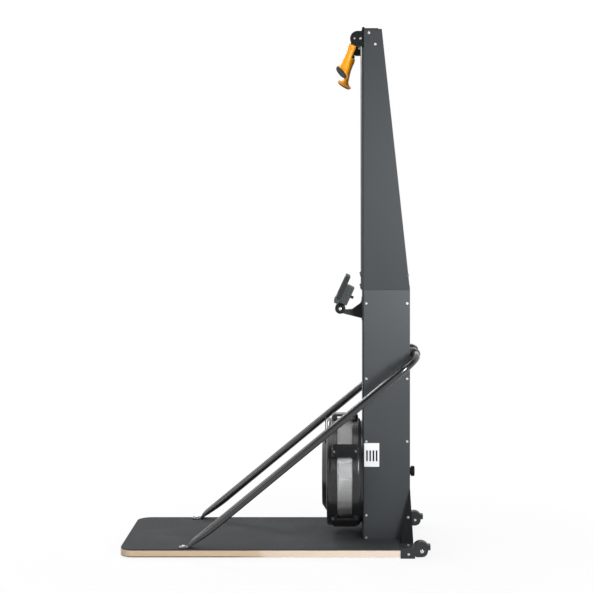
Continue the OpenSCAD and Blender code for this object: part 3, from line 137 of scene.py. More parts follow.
def shader_group(name, inputs, outputs):
    """An empty node group with named sockets."""
    tree = bpy.data.node_groups.new(name, "ShaderNodeTree")
    for label, kind, value in inputs:
        socket = tree.interface.new_socket(name=label, in_out="INPUT", socket_type=kind)
        socket.default_value = value
    for label, kind in outputs:
        tree.interface.new_socket(name=label, in_out="OUTPUT", socket_type=kind)
    return tree, tree.nodes.new("NodeGroupInput"), tree.nodes.new("NodeGroupOutput")


def place_in_metres(tree):
    """Where a point is on its piece, in metres."""
    return add(tree, "TexCoord").outputs["Object"]


def face_direction(tree):
    return add(tree, "NewGeometry").outputs["Normal"]


def axes_of(tree, vector):
    """A vector's outputs X, Y and Z."""
    return add(tree, "SeparateXYZ", {0: vector}).outputs


def noise(tree, where, scale, detail=3.0, roughness=0.55):
    """Noise round 0.5, with a scale in clouds per metre."""
    inputs = {"Vector": where, "Scale": scale, "Detail": detail, "Roughness": roughness}
    return add(tree, "TexNoise", inputs).outputs["Fac"]


# How a coat's mottle is made up, and how many times stronger it is than the clouding asked for
FINE_SHARE, CLOUD_SHARE = 0.45, 0.55
CLOUDS_PER_METRE = 7.0
MOTTLE_GAIN = 4.0


def build_surface_grain():
    """Fine grain and slow clouding of a coat or a moulded face."""
    tree, given, result = shader_group(
        "surface_grain",
        [
            ("Colour", COLOUR, (0.1, 0.1, 0.1, 1)),
            ("Grains per metre", FLOAT, 900.0),
            ("Clouding", FLOAT, 0.1),
        ],
        [("Colour", COLOUR), ("Height", FLOAT), ("Cloud", FLOAT)],
    )
    where = place_in_metres(tree)
    fine = noise(tree, where, given.outputs["Grains per metre"], 2.0)
    cloud = noise(tree, where, CLOUDS_PER_METRE, 4.0)
    grains = calc(tree, "MULTIPLY", fine, FINE_SHARE)
    mottle = calc(tree, "ADD", grains, calc(tree, "MULTIPLY", cloud, CLOUD_SHARE))
    tint = swing(tree, mottle, given.outputs["Clouding"])
    factor = calc(tree, "ADD", calc(tree, "MULTIPLY", tint, MOTTLE_GAIN), 1.0)
    grey = add(tree, "CombineColor", {0: factor, 1: factor, 2: factor}).outputs[0]
    colour = mix(tree, 1.0, given.outputs["Colour"], grey, "MULTIPLY")
    feed(tree, result, {"Colour": colour, "Height": fine, "Cloud": cloud})
    return tree


def build_edge_wear():
    """A mask that is 1 where an outer edge is rubbed bare, broken up by noise."""
    tree, given, result = shader_group(
        "edge_wear",
        [("Width", FLOAT, 0.002), ("Amount", FLOAT, 0.5)],
        [("Mask", FLOAT)],
    )
    rounded = add(tree, "Bevel", {"Radius": given.outputs["Width"]}, samples=4)
    together = vector_calc(tree, "DOT_PRODUCT", rounded.outputs[0], face_direction(tree))
    turned = spread(tree, together.outputs["Value"], 0.99, 0.8)
    rubbed = spread(tree, noise(tree, place_in_metres(tree), 55.0, 5.0), 0.42, 0.68)
    edges = calc(tree, "MULTIPLY", turned, rubbed)
    mask = calc(tree, "MULTIPLY", edges, given.outputs["Amount"], True)
    feed(tree, result, {"Mask": mask})
    return tree


def build_settled_dust():
    """A mask of dust on faces that look up."""
    tree, given, result = shader_group(
        "settled_dust",
        [("Amount", FLOAT, 0.2)],
        [("Mask", FLOAT)],
    )
    level = spread(tree, axes_of(tree, face_direction(tree))["Z"], 0.55, 0.98)
    patches = spread(tree, noise(tree, place_in_metres(tree), 22.0, 6.0), 0.35, 0.75)
    lying = calc(tree, "MULTIPLY", level, patches)
    mask = calc(tree, "MULTIPLY", lying, given.outputs["Amount"], True)
    feed(tree, result, {"Mask": mask})
    return tree


def build_drawn_lines():
    """Fine lines left along one direction by rolling, brushing or turning."""
    tree, given, result = shader_group(
        "drawn_lines",
        [("Stretch", VECTOR, (1.0, 1.0, 1.0)), ("Lines per metre", FLOAT, 1500.0)],
        [("Height", FLOAT)],
    )
    scaled = vector_calc(tree, "MULTIPLY", place_in_metres(tree), given.outputs["Stretch"])
    lines = noise(tree, scaled.outputs[0], given.outputs["Lines per metre"], 2.0, 0.7)
    feed(tree, result, {"Height": lines})
    return tree


GRAIN = build_surface_grain()
WEAR = build_edge_wear()
DUST = build_settled_dust()
LINES = build_drawn_lines()


def use_group(tree, group, inputs):
    """Places a node group in a material, with its own values. Returns its outputs."""
    return add(tree, "Group", inputs, node_tree=group).outputs


def empty_material(name):
    """A material with a bare Principled surface."""
    material = bpy.data.materials.new(name)
    material.use_nodes = True
    tree = material.node_tree
    tree.nodes.clear()
    surface = add(tree, "BsdfPrincipled")
    add(tree, "OutputMaterial", {"Surface": surface.outputs[0]})
    return material, tree, surface


def emboss(tree, surface, height, depth, strength=1.0):
    """Turns a height map into relief of the surface, with its depth in metres."""
    inputs = {"Strength": strength, "Distance": depth, "Height": height}
    feed(tree, surface, {"Normal": add(tree, "Bump", inputs).outputs[0]})


DUST_COLOUR = (0.42, 0.41, 0.39)
# How far clouds, grain and dust move a coat's roughness
CLOUD_ROUGHNESS, GRAIN_ROUGHNESS, DUST_ROUGHNESS = 0.06, 0.15, 0.25
# How much lighter a rubbed edge is where no bare colour is given
RUBBED_LIGHTER = 1.7


def coated(
    name, colour, rough, grains=900.0, depth=0.04, clouding=0.08, bare=None, wear=0.35,
    wear_width=1.5, dust=0.12, metal=0.0, coat=0.0, coat_rough=0.1, gloss=0.5, lines=None,
):
    """A finish with grain, rubbed edges and a little dust. Depth and width are in millimetres."""
    material, tree, surface = empty_material(name)
    coat_grain = {"Colour": colour, "Grains per metre": grains, "Clouding": clouding}
    grain = use_group(tree, GRAIN, coat_grain)
    worn = use_group(tree, WEAR, {"Width": wear_width * MM, "Amount": wear})["Mask"]
    dusty = use_group(tree, DUST, {"Amount": dust})["Mask"]
    rubbed = bare or [channel * RUBBED_LIGHTER for channel in colour]
    tone = mix(tree, worn, grain["Colour"], rubbed)
    tone = mix(tree, dusty, tone, DUST_COLOUR)
    height = grain["Height"]
    if lines:
        height = use_group(tree, LINES, {"Stretch": lines, "Lines per metre": grains})["Height"]
    least, most = rough - CLOUD_ROUGHNESS, rough + CLOUD_ROUGHNESS
    patchy = spread(tree, grain["Cloud"], 0.3, 0.7, least, most)
    streaky = calc(tree, "ADD", patchy, swing(tree, height, GRAIN_ROUGHNESS))
    matt = calc(tree, "MULTIPLY", dusty, DUST_ROUGHNESS)
    feed(tree, surface, {
        "Base Color": tone,
        "Roughness": calc(tree, "ADD", streaky, matt, True),
        "Metallic": metal,
        "Coat Weight": coat,
        "Coat Roughness": coat_rough,
        "Specular IOR Level": gloss,
    })
    emboss(tree, surface, height, depth * MM)
    return material


BOARD_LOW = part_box("platform_board")[0].z
VENEER_T = 2.25 * MM
VENEER_WOBBLE = 1.2 * MM
VENEER_CREAM, VENEER_TAN = (0.87, 0.745, 0.62), (0.645, 0.475, 0.32)
FIGURE_AMBER = (0.42, 0.255, 0.13)
# The first is the brown of the painted shadow along the board's lower edge, the second the grey of end grain
UNDER_SHADOW_BROWN, END_GRAIN_GREY = (0.10, 0.062, 0.036), (0.30, 0.255, 0.20)
# Where along the board the lighter edge veneer begins, how softly, and where it is palest
JOINT_X, JOINT_SOFT, PALEST_X = -0.075, 0.02, 0.425
# The painted shadow along the lower edge: where it fades upwards, and along the board
UNDER_FULL_Z, UNDER_END_Z = BOARD_LOW + 3.4 * MM, BOARD_LOW + 5.0 * MM
UNDER_FULL_X, UNDER_END_X = -0.2, -0.02


def plywood_finish():
    """Clear-coated board: thin veneers on its edges, long figure on its faces, and a painted shadow along the
    front half of its lower edge.
    """
    material, tree, surface = empty_material("plywood_board")
    where = place_in_metres(tree)
    at = axes_of(tree, where)

    wobble = calc(tree, "MULTIPLY", noise(tree, where, 9.0, 3.0), VENEER_WOBBLE)
    layer = calc(tree, "DIVIDE", calc(tree, "ADD", at["Z"], wobble), 2 * VENEER_T)
    off_middle = calc(tree, "ABSOLUTE", calc(tree, "SUBTRACT", calc(tree, "FRACT", layer), 0.5))
    dark_layer = spread(tree, off_middle, 0.2, 0.3)

    along = calc(tree, "ADD", at["X"], swing(tree, noise(tree, where, 6.0, 3.0), 0.25))
    joint = spread(tree, along, JOINT_X - JOINT_SOFT, JOINT_X + JOINT_SOFT, 0.0, 0.6)
    paler = mix(tree, joint, VENEER_TAN, VENEER_CREAM)
    palest = spread(tree, along, JOINT_X, PALEST_X)
    paler = mix(tree, palest, paler, VENEER_CREAM)
    tone = mix(tree, calc(tree, "MULTIPLY", dark_layer, 0.22), paler, VENEER_TAN)

    stretched = vector_calc(tree, "MULTIPLY", where, (0.04, 1.0, 1.0))
    figure = noise(tree, stretched.outputs[0], 420.0, 4.0, 0.65)
    tone = mix(tree, spread(tree, figure, 0.45, 0.8, 0.0, 0.3), tone, FIGURE_AMBER)

    # Painted shadow: a dark brown line along the lower edge, on the front half of the board
    low_edge = spread(tree, at["Z"], UNDER_FULL_Z, UNDER_END_Z, 1.0, 0.0)
    near_front = spread(tree, along, UNDER_FULL_X, UNDER_END_X, 1.0, 0.0)
    under = calc(tree, "MULTIPLY", low_edge, near_front)
    tone = mix(tree, under, tone, UNDER_SHADOW_BROWN)
    looks = axes_of(tree, face_direction(tree))
    end_grain = spread(tree, looks["X"], -0.25, -0.8, 0.0, 0.75)
    tone = mix(tree, end_grain, tone, END_GRAIN_GREY)

    feed(tree, surface, {
        "Base Color": tone,
        "Roughness": spread(tree, figure, 0.3, 0.7, 0.38, 0.52),
        "Coat Weight": 0.25,
        "Coat Roughness": 0.25,
    })
    layers = calc(tree, "MULTIPLY", dark_layer, 0.6)
    height = calc(tree, "ADD", layers, calc(tree, "MULTIPLY", figure, 0.4))
    emboss(tree, surface, height, 0.2 * MM, 0.7)
    return material


MAT_DARK, MAT_PEBBLE = (0.036, 0.038, 0.040), (0.070, 0.073, 0.076)
MAT_SCUFF = (0.098, 0.100, 0.102)
PEBBLES_PER_METRE = 230.0


def mat_finish():
    """Charcoal mat: raised pebbles of a few millimetres with pale scuffs between them."""
    material, tree, surface = empty_material("mat_rubber")
    where = place_in_metres(tree)
    pebbles = add(tree, "TexVoronoi", {"Vector": where, "Scale": PEBBLES_PER_METRE})
    pebble = spread(tree, pebbles.outputs["Distance"], 0.15, 0.62, 1.0, 0.0)
    fine = noise(tree, where, 1700.0, 2.0)
    scuff = spread(tree, noise(tree, where, 5.0, 6.0, 0.65), 0.48, 0.72)
    raised = calc(tree, "MULTIPLY", pebble, 0.55)
    tone = mix(tree, raised, MAT_DARK, MAT_PEBBLE)
    tone = mix(tree, calc(tree, "MULTIPLY", scuff, 0.25), tone, MAT_SCUFF)
    feed(tree, surface, {
        "Base Color": tone,
        "Roughness": spread(tree, fine, 0.3, 0.7, 0.78, 0.95),
        "Specular IOR Level": 0.25,
    })
    height = calc(tree, "ADD", pebble, calc(tree, "MULTIPLY", fine, 0.3))
    emboss(tree, surface, height, 0.4 * MM)
    return material


STRANDS_SCALE = 130.0
CORD_DARK, CORD_LIGHT = (0.010, 0.010, 0.011), (0.045, 0.045, 0.048)


def braid_finish():
    """Braided cord jacket: two sets of strands that cross."""
    material, tree, surface = empty_material("braided_cord")
    where = place_in_metres(tree)
    waves = {"Vector": where, "Scale": STRANDS_SCALE, "Distortion": 1.5, "Detail": 1.0}
    crossing = [add(tree, "TexWave", waves, bands_direction=way).outputs["Fac"] for way in "XZ"]
    strands = calc(tree, "MAXIMUM", *crossing)
    feed(tree, surface, {
        "Base Color": mix(tree, strands, CORD_DARK, CORD_LIGHT),
        "Roughness": 0.75,
        "Sheen Weight": 0.2,
    })
    emboss(tree, surface, strands, 0.4 * MM)
    return material


CELL_COLOURS = {
    "Color1": (0.245, 0.285, 0.255),
    "Color2": (0.262, 0.300, 0.270),
    "Mortar": (0.20, 0.235, 0.21),
}


def display_finish():
    """Grey-green display behind a clear window, with the faint grid of its cells."""
    material, tree, surface = empty_material("display_window")
    where = place_in_metres(tree)
    cells = {"Vector": where, "Scale": 60.0, "Mortar Size": 0.012, **CELL_COLOURS}
    smear = noise(tree, where, 30.0, 4.0)
    feed(tree, surface, {
        "Base Color": add(tree, "TexBrick", cells).outputs["Color"],
        "Roughness": spread(tree, smear, 0.35, 0.7, 0.08, 0.2),
        "Coat Weight": 1.0,
        "Coat Roughness": 0.03,
    })
    return material


# Each slot's finish: colour, roughness, grains per metre, their depth in millimetres, clouding
finishes = {
    "plywood": plywood_finish(),
    "mat_rubber": mat_finish(),
    "foot_rubber": coated(
        "foot_rubber", (0.028, 0.028, 0.029), 0.8, 1500, 0.1, wear=0.1, gloss=0.3,
    ),
    "panel_paint": coated(
        "charcoal_powder_coat", (0.040, 0.044, 0.0475), 0.42, 1100, 0.05, 0.05,
        bare=(0.14, 0.15, 0.155), wear=0.3, wear_width=1.2, dust=0.04, gloss=0.3,
    ),
    "bracket_paint": coated(
        "black_powder_coat", (0.031, 0.033, 0.035), 0.44, 1100, 0.05, 0.07,
        bare=(0.14, 0.14, 0.14), wear=0.45, dust=0.05, gloss=0.25,
    ),
    "tube_paint": coated(
        "gloss_black_tube", (0.007, 0.0072, 0.008), 0.19, 500, 0.003, 0.06,
        bare=(0.06, 0.06, 0.06), wear=0.1, dust=0.0, gloss=0.85,
    ),
    "frame_paint": coated("grey_primer", (0.09, 0.09, 0.095), 0.7, 800, 0.06, 0.12, wear=0.3),
    "vent_paint": coated(
        "white_plate", (0.84, 0.84, 0.83), 0.42, 900, 0.03, 0.02,
        bare=(0.7, 0.7, 0.69), wear=0.2, wear_width=0.8, dust=0.0,
    ),
    "bright_steel": coated(
        "zinc_plated_steel", (0.60, 0.60, 0.61), 0.27, 1200, 0.02, 0.06,
        bare=(0.75, 0.75, 0.75), wear=0.5, wear_width=0.6, dust=0.0, metal=1.0,
    ),
    "outlet_mesh": coated(
        "outlet_mesh_steel", (0.41, 0.41, 0.405), 0.36, 1600, 0.004, 0.10,
        wear=0.0, dust=0.0, metal=1.0, lines=(1.0, 0.03, 0.03),
    ),
    "fan_alloy": coated(
        "satin_alloy", (0.58, 0.59, 0.60), 0.40, 1400, 0.03,
        wear=0.2, dust=0.0, metal=1.0, lines=(1.0, 0.05, 1.0),
    ),
    "fan_plastic": coated(
        "gloss_black_moulding", (0.010, 0.0102, 0.011), 0.24, 700, 0.005, 0.05,
        bare=(0.04, 0.04, 0.04), wear=0.2, dust=0.0,
    ),
    "black_plastic": coated(
        "matte_black_moulding", (0.008, 0.0083, 0.009), 0.46, 1800, 0.05,
        bare=(0.04, 0.04, 0.04), dust=0.03, gloss=0.12,
    ),
    "monitor_plastic": coated(
        "dark_grey_moulding", (0.040, 0.044, 0.044), 0.5, 2000, 0.05, 0.05,
        bare=(0.09, 0.095, 0.095), wear=0.3, dust=0.03, gloss=0.2,
    ),
    "key_rubber": coated(
        "soft_key", (0.035, 0.035, 0.037), 0.75, 1500, 0.05, wear=0.2, gloss=0.3,
    ),
    "screen_glass": display_finish(),
    "handle_yellow": coated(
        "yellow_moulding", (0.73, 0.288, 0.004), 0.38, 900, 0.006, 0.05,
        bare=(0.82, 0.42, 0.045), wear=0.3, wear_width=3, dust=0.0, gloss=0.28,
    ),
    "pad_rubber": coated(
        "soft_black_pad", (0.02, 0.02, 0.021), 0.68, 1600, 0.08, wear=0.15, gloss=0.35,
    ),
    "cord_black": braid_finish(),
    "wheel_rubber": coated(
        "wheel_rubber", (0.042, 0.042, 0.0435), 0.66, 1200, 0.1, 0.1,
        bare=(0.10, 0.10, 0.098), wear=0.5, wear_width=3, dust=0.2, gloss=0.35,
    ),
}

# Finishes of single pieces that differ from their slot's
# A darker copy of the charcoal coat: painted shade on the upper panels, which lean out and face a little down
SHADED_UPPER_PAINT = coated(
    "charcoal_powder_coat_upper_painted_shade", (0.033, 0.0365, 0.0395), 0.46, 1100, 0.05, 0.05,
    bare=(0.12, 0.13, 0.135), wear=0.3, wear_width=1.2, dust=0.04, gloss=0.2,
)
# Deep black: the top cap's own colour, and on the gussets partly painted shade for the dark patch at the tower's
# rear foot
DEEP_BLACK_AND_SHADE = coated(
    "deep_black_coat_and_shade", (0.008, 0.0085, 0.009), 0.5, 1100, 0.04, 0.06,
    bare=(0.05, 0.05, 0.05), wear=0.3, dust=0.02, gloss=0.12,
)
DARK_STEEL = coated(
    "blackened_steel", (0.030, 0.030, 0.032), 0.4, 1200, 0.02, 0.06,
    bare=(0.2, 0.2, 0.2), wear=0.4, wear_width=0.6, dust=0.0, metal=0.6, gloss=0.4,
)
BEZEL_BLACK = coated(
    "bezel_moulding", (0.018, 0.019, 0.019), 0.5, 2000, 0.05, 0.05,
    bare=(0.06, 0.06, 0.06), wear=0.3, dust=0.02, gloss=0.15,
)
# A darker copy of the charcoal coat: painted shade on the tower's front panels
SHADED_FRONT_PAINT = coated(
    "charcoal_powder_coat_front_painted_shade", (0.021, 0.0225, 0.0245), 0.46, 1100, 0.05, 0.05,
    bare=(0.06, 0.065, 0.07), wear=0.25, wear_width=1.2, dust=0.03, gloss=0.2,
)
ARM_BLACK = coated(
    "arm_moulding", (0.018, 0.0185, 0.019), 0.42, 1800, 0.05,
    bare=(0.06, 0.06, 0.06), dust=0.03, gloss=0.2,
)
POCKET_GLOSS = coated(
    "polished_black_rim", (0.008, 0.008, 0.009), 0.12, 500, 0.002, 0.04,
    bare=(0.04, 0.04, 0.04), wear=0.0, dust=0.0, coat=1.0, coat_rough=0.05,
)
# The darker copies of the charcoal coat paint shade on the upper and front panels, and the deep black paints shade
# in part on the gussets
own_finish = {
    "upper_front_panel": SHADED_FRONT_PAINT, "lower_front_panel": SHADED_FRONT_PAINT,
    "upper_rear_panel": SHADED_UPPER_PAINT, "monitor_arm": ARM_BLACK,
    "right_upper_panel": SHADED_UPPER_PAINT, "left_upper_panel": SHADED_UPPER_PAINT,
    "top_cap": DEEP_BLACK_AND_SHADE, "base_gussets": DEEP_BLACK_AND_SHADE, "monitor_bezel": BEZEL_BLACK,
}


# Mesh tools


def place_in_scene(name, data):
    holder = bpy.data.objects.new(name, data)
    bpy.context.scene.collection.objects.link(holder)
    return holder


def mesh_object(name, bm, material):
    """A new object with the shape and one material."""
    mesh = bpy.data.meshes.new(name)
    bm.to_mesh(mesh)
    bm.free()
    mesh.materials.append(material)
    return place_in_scene(name, mesh)


def new_piece(name, bm, slot, body="root", replaced=(), smooth=True, material=None):
    """Makes an object ride on a body, in its slot's finish, in place of the named CAD nodes."""
    bmesh.ops.recalc_face_normals(bm, faces=bm.faces)
    piece = mesh_object(name, bm, material or finishes[slot])
    faces = piece.data.polygons
    faces.foreach_set("use_smooth", [smooth] * len(faces))
    if body:
        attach(piece, body)
    if replaced:
        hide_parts(*replaced)
    return piece


SHARP_ANGLE = radians(35.0)


def round_edges(piece, width, segments=3):
    """Rounds a piece's edges where its faces meet at more than the sharp angle."""
    bevel = piece.modifiers.new("rounded edges", "BEVEL")
    bevel.width = width
    bevel.segments = segments
    bevel.limit_method = "ANGLE"
    bevel.angle_limit = SHARP_ANGLE
    bevel.use_clamp_overlap = True
    bevel.harden_normals = True


def thicken(piece, name, thickness, offset):
    """Gives a skin a wall: offset -1 puts it under the skin, and 0 on both sides of it."""
    wall = piece.modifiers.new(name, "SOLIDIFY")
    wall.thickness = thickness
    wall.offset = offset


def solids_of(bm):
    """The separate solids of a mesh, as lists of vertices."""
    found, groups = set(), []
    for first in bm.verts:
        if first in found:
            continue
        found.add(first)
        group = [first]
        for vert in group:
            for edge in vert.link_edges:
                other = edge.other_vert(vert)
                if other not in found:
                    found.add(other)
                    group.append(other)
        groups.append(group)
    return groups


def centre_of(group):
    return sum((vert.co for vert in group), Vector()) / len(group)


WELD = 0.002 * MM
FLAT_ANGLE = radians(0.4)


def rounded_copy(node, width, name=None, material=None, keep=None):
    """Stands for a CAD node, or for those of its solids that are kept: the edges are rounded."""
    bm = bmesh.new()
    bm.from_mesh(nodes[node].data)
    bmesh.ops.remove_doubles(bm, verts=bm.verts, dist=WELD)
    bmesh.ops.dissolve_limit(bm, angle_limit=FLAT_ANGLE, verts=bm.verts, edges=bm.edges)
    for layer in list(bm.loops.layers.float_vector):
        bm.loops.layers.float_vector.remove(layer)
    if keep:
        for group in solids_of(bm):
            if not keep(centre_of(group)):
                bmesh.ops.delete(bm, geom=group, context="VERTS")
    piece = new_piece(
        name or f"{node}_finished", bm, slot_of[node], body_of[node], (node,), material=material
    )
    attributes = piece.data.attributes
    for shading in ("custom_normal", "sharp_face"):
        if shading in attributes:
            attributes.remove(attributes[shading])
    round_edges(piece, width)


def loft(rings, closed_path=False, bm=None):
    """A skin over rings of points that all have the same count. A path that is open gets ends."""
    if bm is None:
        bm = bmesh.new()
    rows = [[bm.verts.new(point) for point in ring] for ring in rings]
    count = len(rows[0])
    pairs = list(zip(rows, rows[1:]))
    if closed_path:
        pairs.append((rows[-1], rows[0]))
    for low, high in pairs:
        for k in range(count):
            bm.faces.new((low[k], low[(k + 1) % count], high[(k + 1) % count], high[k]))
    if not closed_path:
        bm.faces.new(rows[0][::-1])
        bm.faces.new(rows[-1])
    return bm


def turns(count):
    return [2 * pi * k / count for k in range(count)]


def circle_points(centre, side, up, radius, count):
    """Points round a circle that lies across side and up."""
    return [centre + radius * (cos(a) * side + sin(a) * up) for a in turns(count)]


def lathe(profile, centre, axis, count, bm=None):
    """Turns a closed profile of (radius, distance along the axis) about an axis."""
    axis = Vector(axis).normalized()
    side = axis.orthogonal().normalized()
    up = axis.cross(side)
    rings = []
    for a in turns(count):
        out = cos(a) * side + sin(a) * up
        rings.append([Vector(centre) + axis * along + out * radius for radius, along in profile])
    return loft(rings, closed_path=True, bm=bm)


def with_mirror(profile):
    """A profile from its far end to its middle, with the other half added."""
    return profile + [(radius, -along) for radius, along in reversed(profile)]


def arc_points(centre, radius, start, end, steps):
    """Points of an arc as (x, y) pairs, in degrees."""
    angles = (radians(start + (end - start) * i / steps) for i in range(steps + 1))
    return [(centre[0] + radius * cos(a), centre[1] + radius * sin(a)) for a in angles]


def smooth_step(t):
    t = min(max(t, 0.0), 1.0)
    return t * t * (3 - 2 * t)


def mid(node):
    low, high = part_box(node)
    return (low + high) / 2


# Brace: one bent tube, its two ends pressed flat onto the deck

TUBE_R = 16 * MM
TUBE_SIDES = 40
BEND_R = 90 * MM
BEND_STEPS = 12
FOOT_HALF_W, FOOT_HALF_T = 21 * MM, 3 * MM
FOOT_TAB_L = 38 * MM
FOOT_TIP_L, FOOT_TIP_INSET = 1.5 * MM, 2 * MM
# The taper from the flat foot to the round tube: its upper side swells sooner than its lower side
TAPER_L, UPPER_TAPER_L = 150 * MM, 45 * MM
TAPER_STEPS = 24
TAPER_TOP, TAPER_UNDER = 5 * MM, 1 * MM
DECK_GAP = 0.6 * MM
# How much squarer than an ellipse the flat foot's section is
BOXINESS = 0.55


def brace_section(centre, along, out, half_w, half_t):
    """A ring that is round when its two half sizes match and box-like when it is flat."""
    across = along.cross(out).normalized()
    boxy = smooth_step(1 - (half_t - FOOT_HALF_T) / (TUBE_R - FOOT_HALF_T))
    power = 1.0 - BOXINESS * boxy
    ring = []
    for a in turns(TUBE_SIDES):
        c, s = cos(a), sin(a)
        u = copysign(abs(c) ** power, c) * half_w
        v = copysign(abs(s) ** power, s) * half_t
        ring.append(centre + u * out + v * across)
    return ring


def build_brace():
    """Half the tube from its foot to the middle of its cross run, and then its mirror image."""
    low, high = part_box("brace_tube")
    deck_z, leg_y = low.z, high.y - FOOT_HALF_W
    foot_x = low.x + FOOT_TAB_L
    start = Vector((foot_x, leg_y, deck_z + TAPER_UNDER))
    top = Vector((high.x - TUBE_R, leg_y, high.z - TUBE_R))
    rise = (top - start).normalized()
    up = Vector((-rise.z, 0, rise.x))
    level, out = Vector((1, 0, 0)), Vector((0, 1, 0))

    half = []
    for x, inset in (
        (low.x, FOOT_TIP_INSET), (low.x + FOOT_TIP_L, 0), (foot_x - 4 * MM, 0),
    ):
        centre = Vector((x, leg_y, deck_z + FOOT_HALF_T))
        half_w, half_t = FOOT_HALF_W - inset, FOOT_HALF_T - inset / 2
        half.append(brace_section(centre, level, out, half_w, half_t))
    crease = Vector((foot_x - 3 * MM, leg_y, deck_z + FOOT_HALF_T + 0.3 * MM))
    half.append(brace_section(crease, (level + rise).normalized(), out, FOOT_HALF_W, FOOT_HALF_T))

    for i in range(TAPER_STEPS + 1):
        t = (i / TAPER_STEPS) ** 1.5
        axis = start + rise * (TAPER_L * t)
        left_above = max(1 - t * TAPER_L / UPPER_TAPER_L, 0) ** 2
        above = TAPER_TOP + (TUBE_R - TAPER_TOP) * (1 - left_above)
        below = TAPER_UNDER + (TUBE_R - TAPER_UNDER) * (1 - (1 - t) ** 2)
        below = min(below, (axis.z - deck_z - DECK_GAP) / up.z)
        half_w = FOOT_HALF_W + (TUBE_R - FOOT_HALF_W) * smooth_step(t * 1.4)
        centre = axis + up * (above - below) / 2
        half.append(brace_section(centre, rise, out, half_w, (above + below) / 2))

    bend_at = top - rise * BEND_R
    for i in range(BEND_STEPS + 1):
        a = radians(90 * i / BEND_STEPS)
        centre = bend_at + rise * BEND_R * sin(a) - out * BEND_R * (1 - cos(a))
        along = rise * cos(a) - out * sin(a)
        side = rise * sin(a) + out * cos(a)
        half.append(brace_section(centre, along, side, TUBE_R, TUBE_R))
    mirrored = [[Vector((p.x, -p.y, p.z)) for p in ring] for ring in reversed(half)]
    new_piece("brace_tube_bent", loft(half + mirrored), "tube_paint", "root", ("brace_tube",))


# Fan

MESH_COLUMNS, MESH_ROWS = 240, 16
MESH_RIM = 1.6 * MM
# How much of a mesh is wire: round the fan, and across the band
ROUND_WIRE, CROSS_WIRE = 0.62, 0.30
WIRE_T = 1.0 * MM


def build_mesh_band():
    """The perforated outlet band, as a wire mesh with square openings."""
    low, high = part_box("fan_mesh_band")
    centre = (low + high) / 2
    outer = (high.z - low.z) / 2
    pitch = (high.x - low.x - 2 * MESH_RIM) / MESH_ROWS
    stops_x = [low.x]
    for j in range(MESH_ROWS):
        start = low.x + MESH_RIM + j * pitch
        stops_x += [start + pitch * ROUND_WIRE / 2, start + pitch * (1 - ROUND_WIRE / 2)]
    stops_x.append(high.x)
    bm = bmesh.new()
    grid = []
    for column in range(MESH_COLUMNS):
        for share in (CROSS_WIRE / 2, 1 - CROSS_WIRE / 2):
            a = 2 * pi * (column + share) / MESH_COLUMNS
            y, z = centre.y + outer * sin(a), centre.z + outer * cos(a)
            grid.append([bm.verts.new((x, y, z)) for x in stops_x])
    for i, here in enumerate(grid):
        there = grid[(i + 1) % len(grid)]
        for j in range(len(stops_x) - 1):
            opening = i % 2 == 0 and j % 2 == 1
            if not opening:
                bm.faces.new((here[j], here[j + 1], there[j + 1], there[j]))
    band = new_piece("fan_outlet_mesh", bm, "outlet_mesh", "root", ("fan_mesh_band",))
    thicken(band, "wire thickness", WIRE_T, -1.0)


GUARD_RADII = (64 * MM, 82 * MM, 100 * MM, 117 * MM)
GUARD_HALF_T = 1.0 * MM
GUARD_BEHIND_FACE = 1.7 * MM


def build_intake_guard():
    """Thin rings that close the intake openings of the front cover."""
    axle = mid("flywheel_axle")
    guard_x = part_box("fan_front_cover")[0].x + GUARD_BEHIND_FACE
    bm = bmesh.new()
    for ring_r in GUARD_RADII:
        inner, outer = ring_r - GUARD_HALF_T, ring_r + GUARD_HALF_T
        profile = with_mirror([(inner, -GUARD_HALF_T), (outer, -GUARD_HALF_T)])
        lathe(profile, (guard_x, axle.y, axle.z), (1, 0, 0), 96, bm)
    new_piece("fan_intake_guard", bm, "fan_plastic")


RIBS_FROM_BAND = (3.5 * MM, 10.0 * MM, 16.5 * MM, 23.0 * MM)
# A rib's height is a share of its half width
RIB_HALF_W, RIB_SUNK, RIB_FLATNESS = 1.6 * MM, 0.2 * MM, 0.55


def build_rim_ribs():
    """Raised ribs round the rims of both covers."""
    axle = mid("flywheel_axle")
    band_low, band_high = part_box("fan_mesh_band")
    for cover, edge_x, way in (
        ("fan_front_cover", band_low.x, -1), ("fan_rear_cover", band_high.x, 1),
    ):
        low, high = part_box(cover)
        foot_r = (high.z - low.z) / 2 - RIB_SUNK
        crown = arc_points((0, 0), RIB_HALF_W, -90, 90, 8)
        profile = [(foot_r + r * RIB_FLATNESS, along) for r, along in crown]
        for k, from_band in enumerate(RIBS_FROM_BAND):
            place = (edge_x + way * from_band, axle.y, axle.z)
            rib = lathe(profile, place, (1, 0, 0), 120)
            new_piece(f"{cover}_rib_{k}", rib, "fan_plastic")


SCREW_HEAD_H = 2.4 * MM
POCKET_R, POCKET_WIRE_R = 8.4 * MM, 1.3 * MM
POCKET_PROUD = 0.3 * MM


def build_spacer_rings():
    """A raised ring round each screw of the spacers that join the fan's covers."""
    axle = mid("flywheel_axle")
    screws = bmesh.new()
    screws.from_mesh(nodes["fan_screws"].data)
    bmesh.ops.remove_doubles(screws, verts=screws.verts, dist=WELD)
    profile = arc_points((POCKET_R, POCKET_PROUD), POCKET_WIRE_R, 0, 337.5, 15)
    for k, group in enumerate(solids_of(screws)):
        centre = centre_of(group)
        out = Vector((0, centre.y - axle.y, centre.z - axle.z)).normalized()
        seat = max((vert.co - axle).dot(out) for vert in group) - SCREW_HEAD_H
        middle = Vector((centre.x, axle.y, axle.z)) + out * seat
        ring = lathe(profile, middle, out, 48)
        new_piece(f"spacer_ring_{k}", ring, "fan_plastic", material=POCKET_GLOSS)
    screws.free()


# Tower

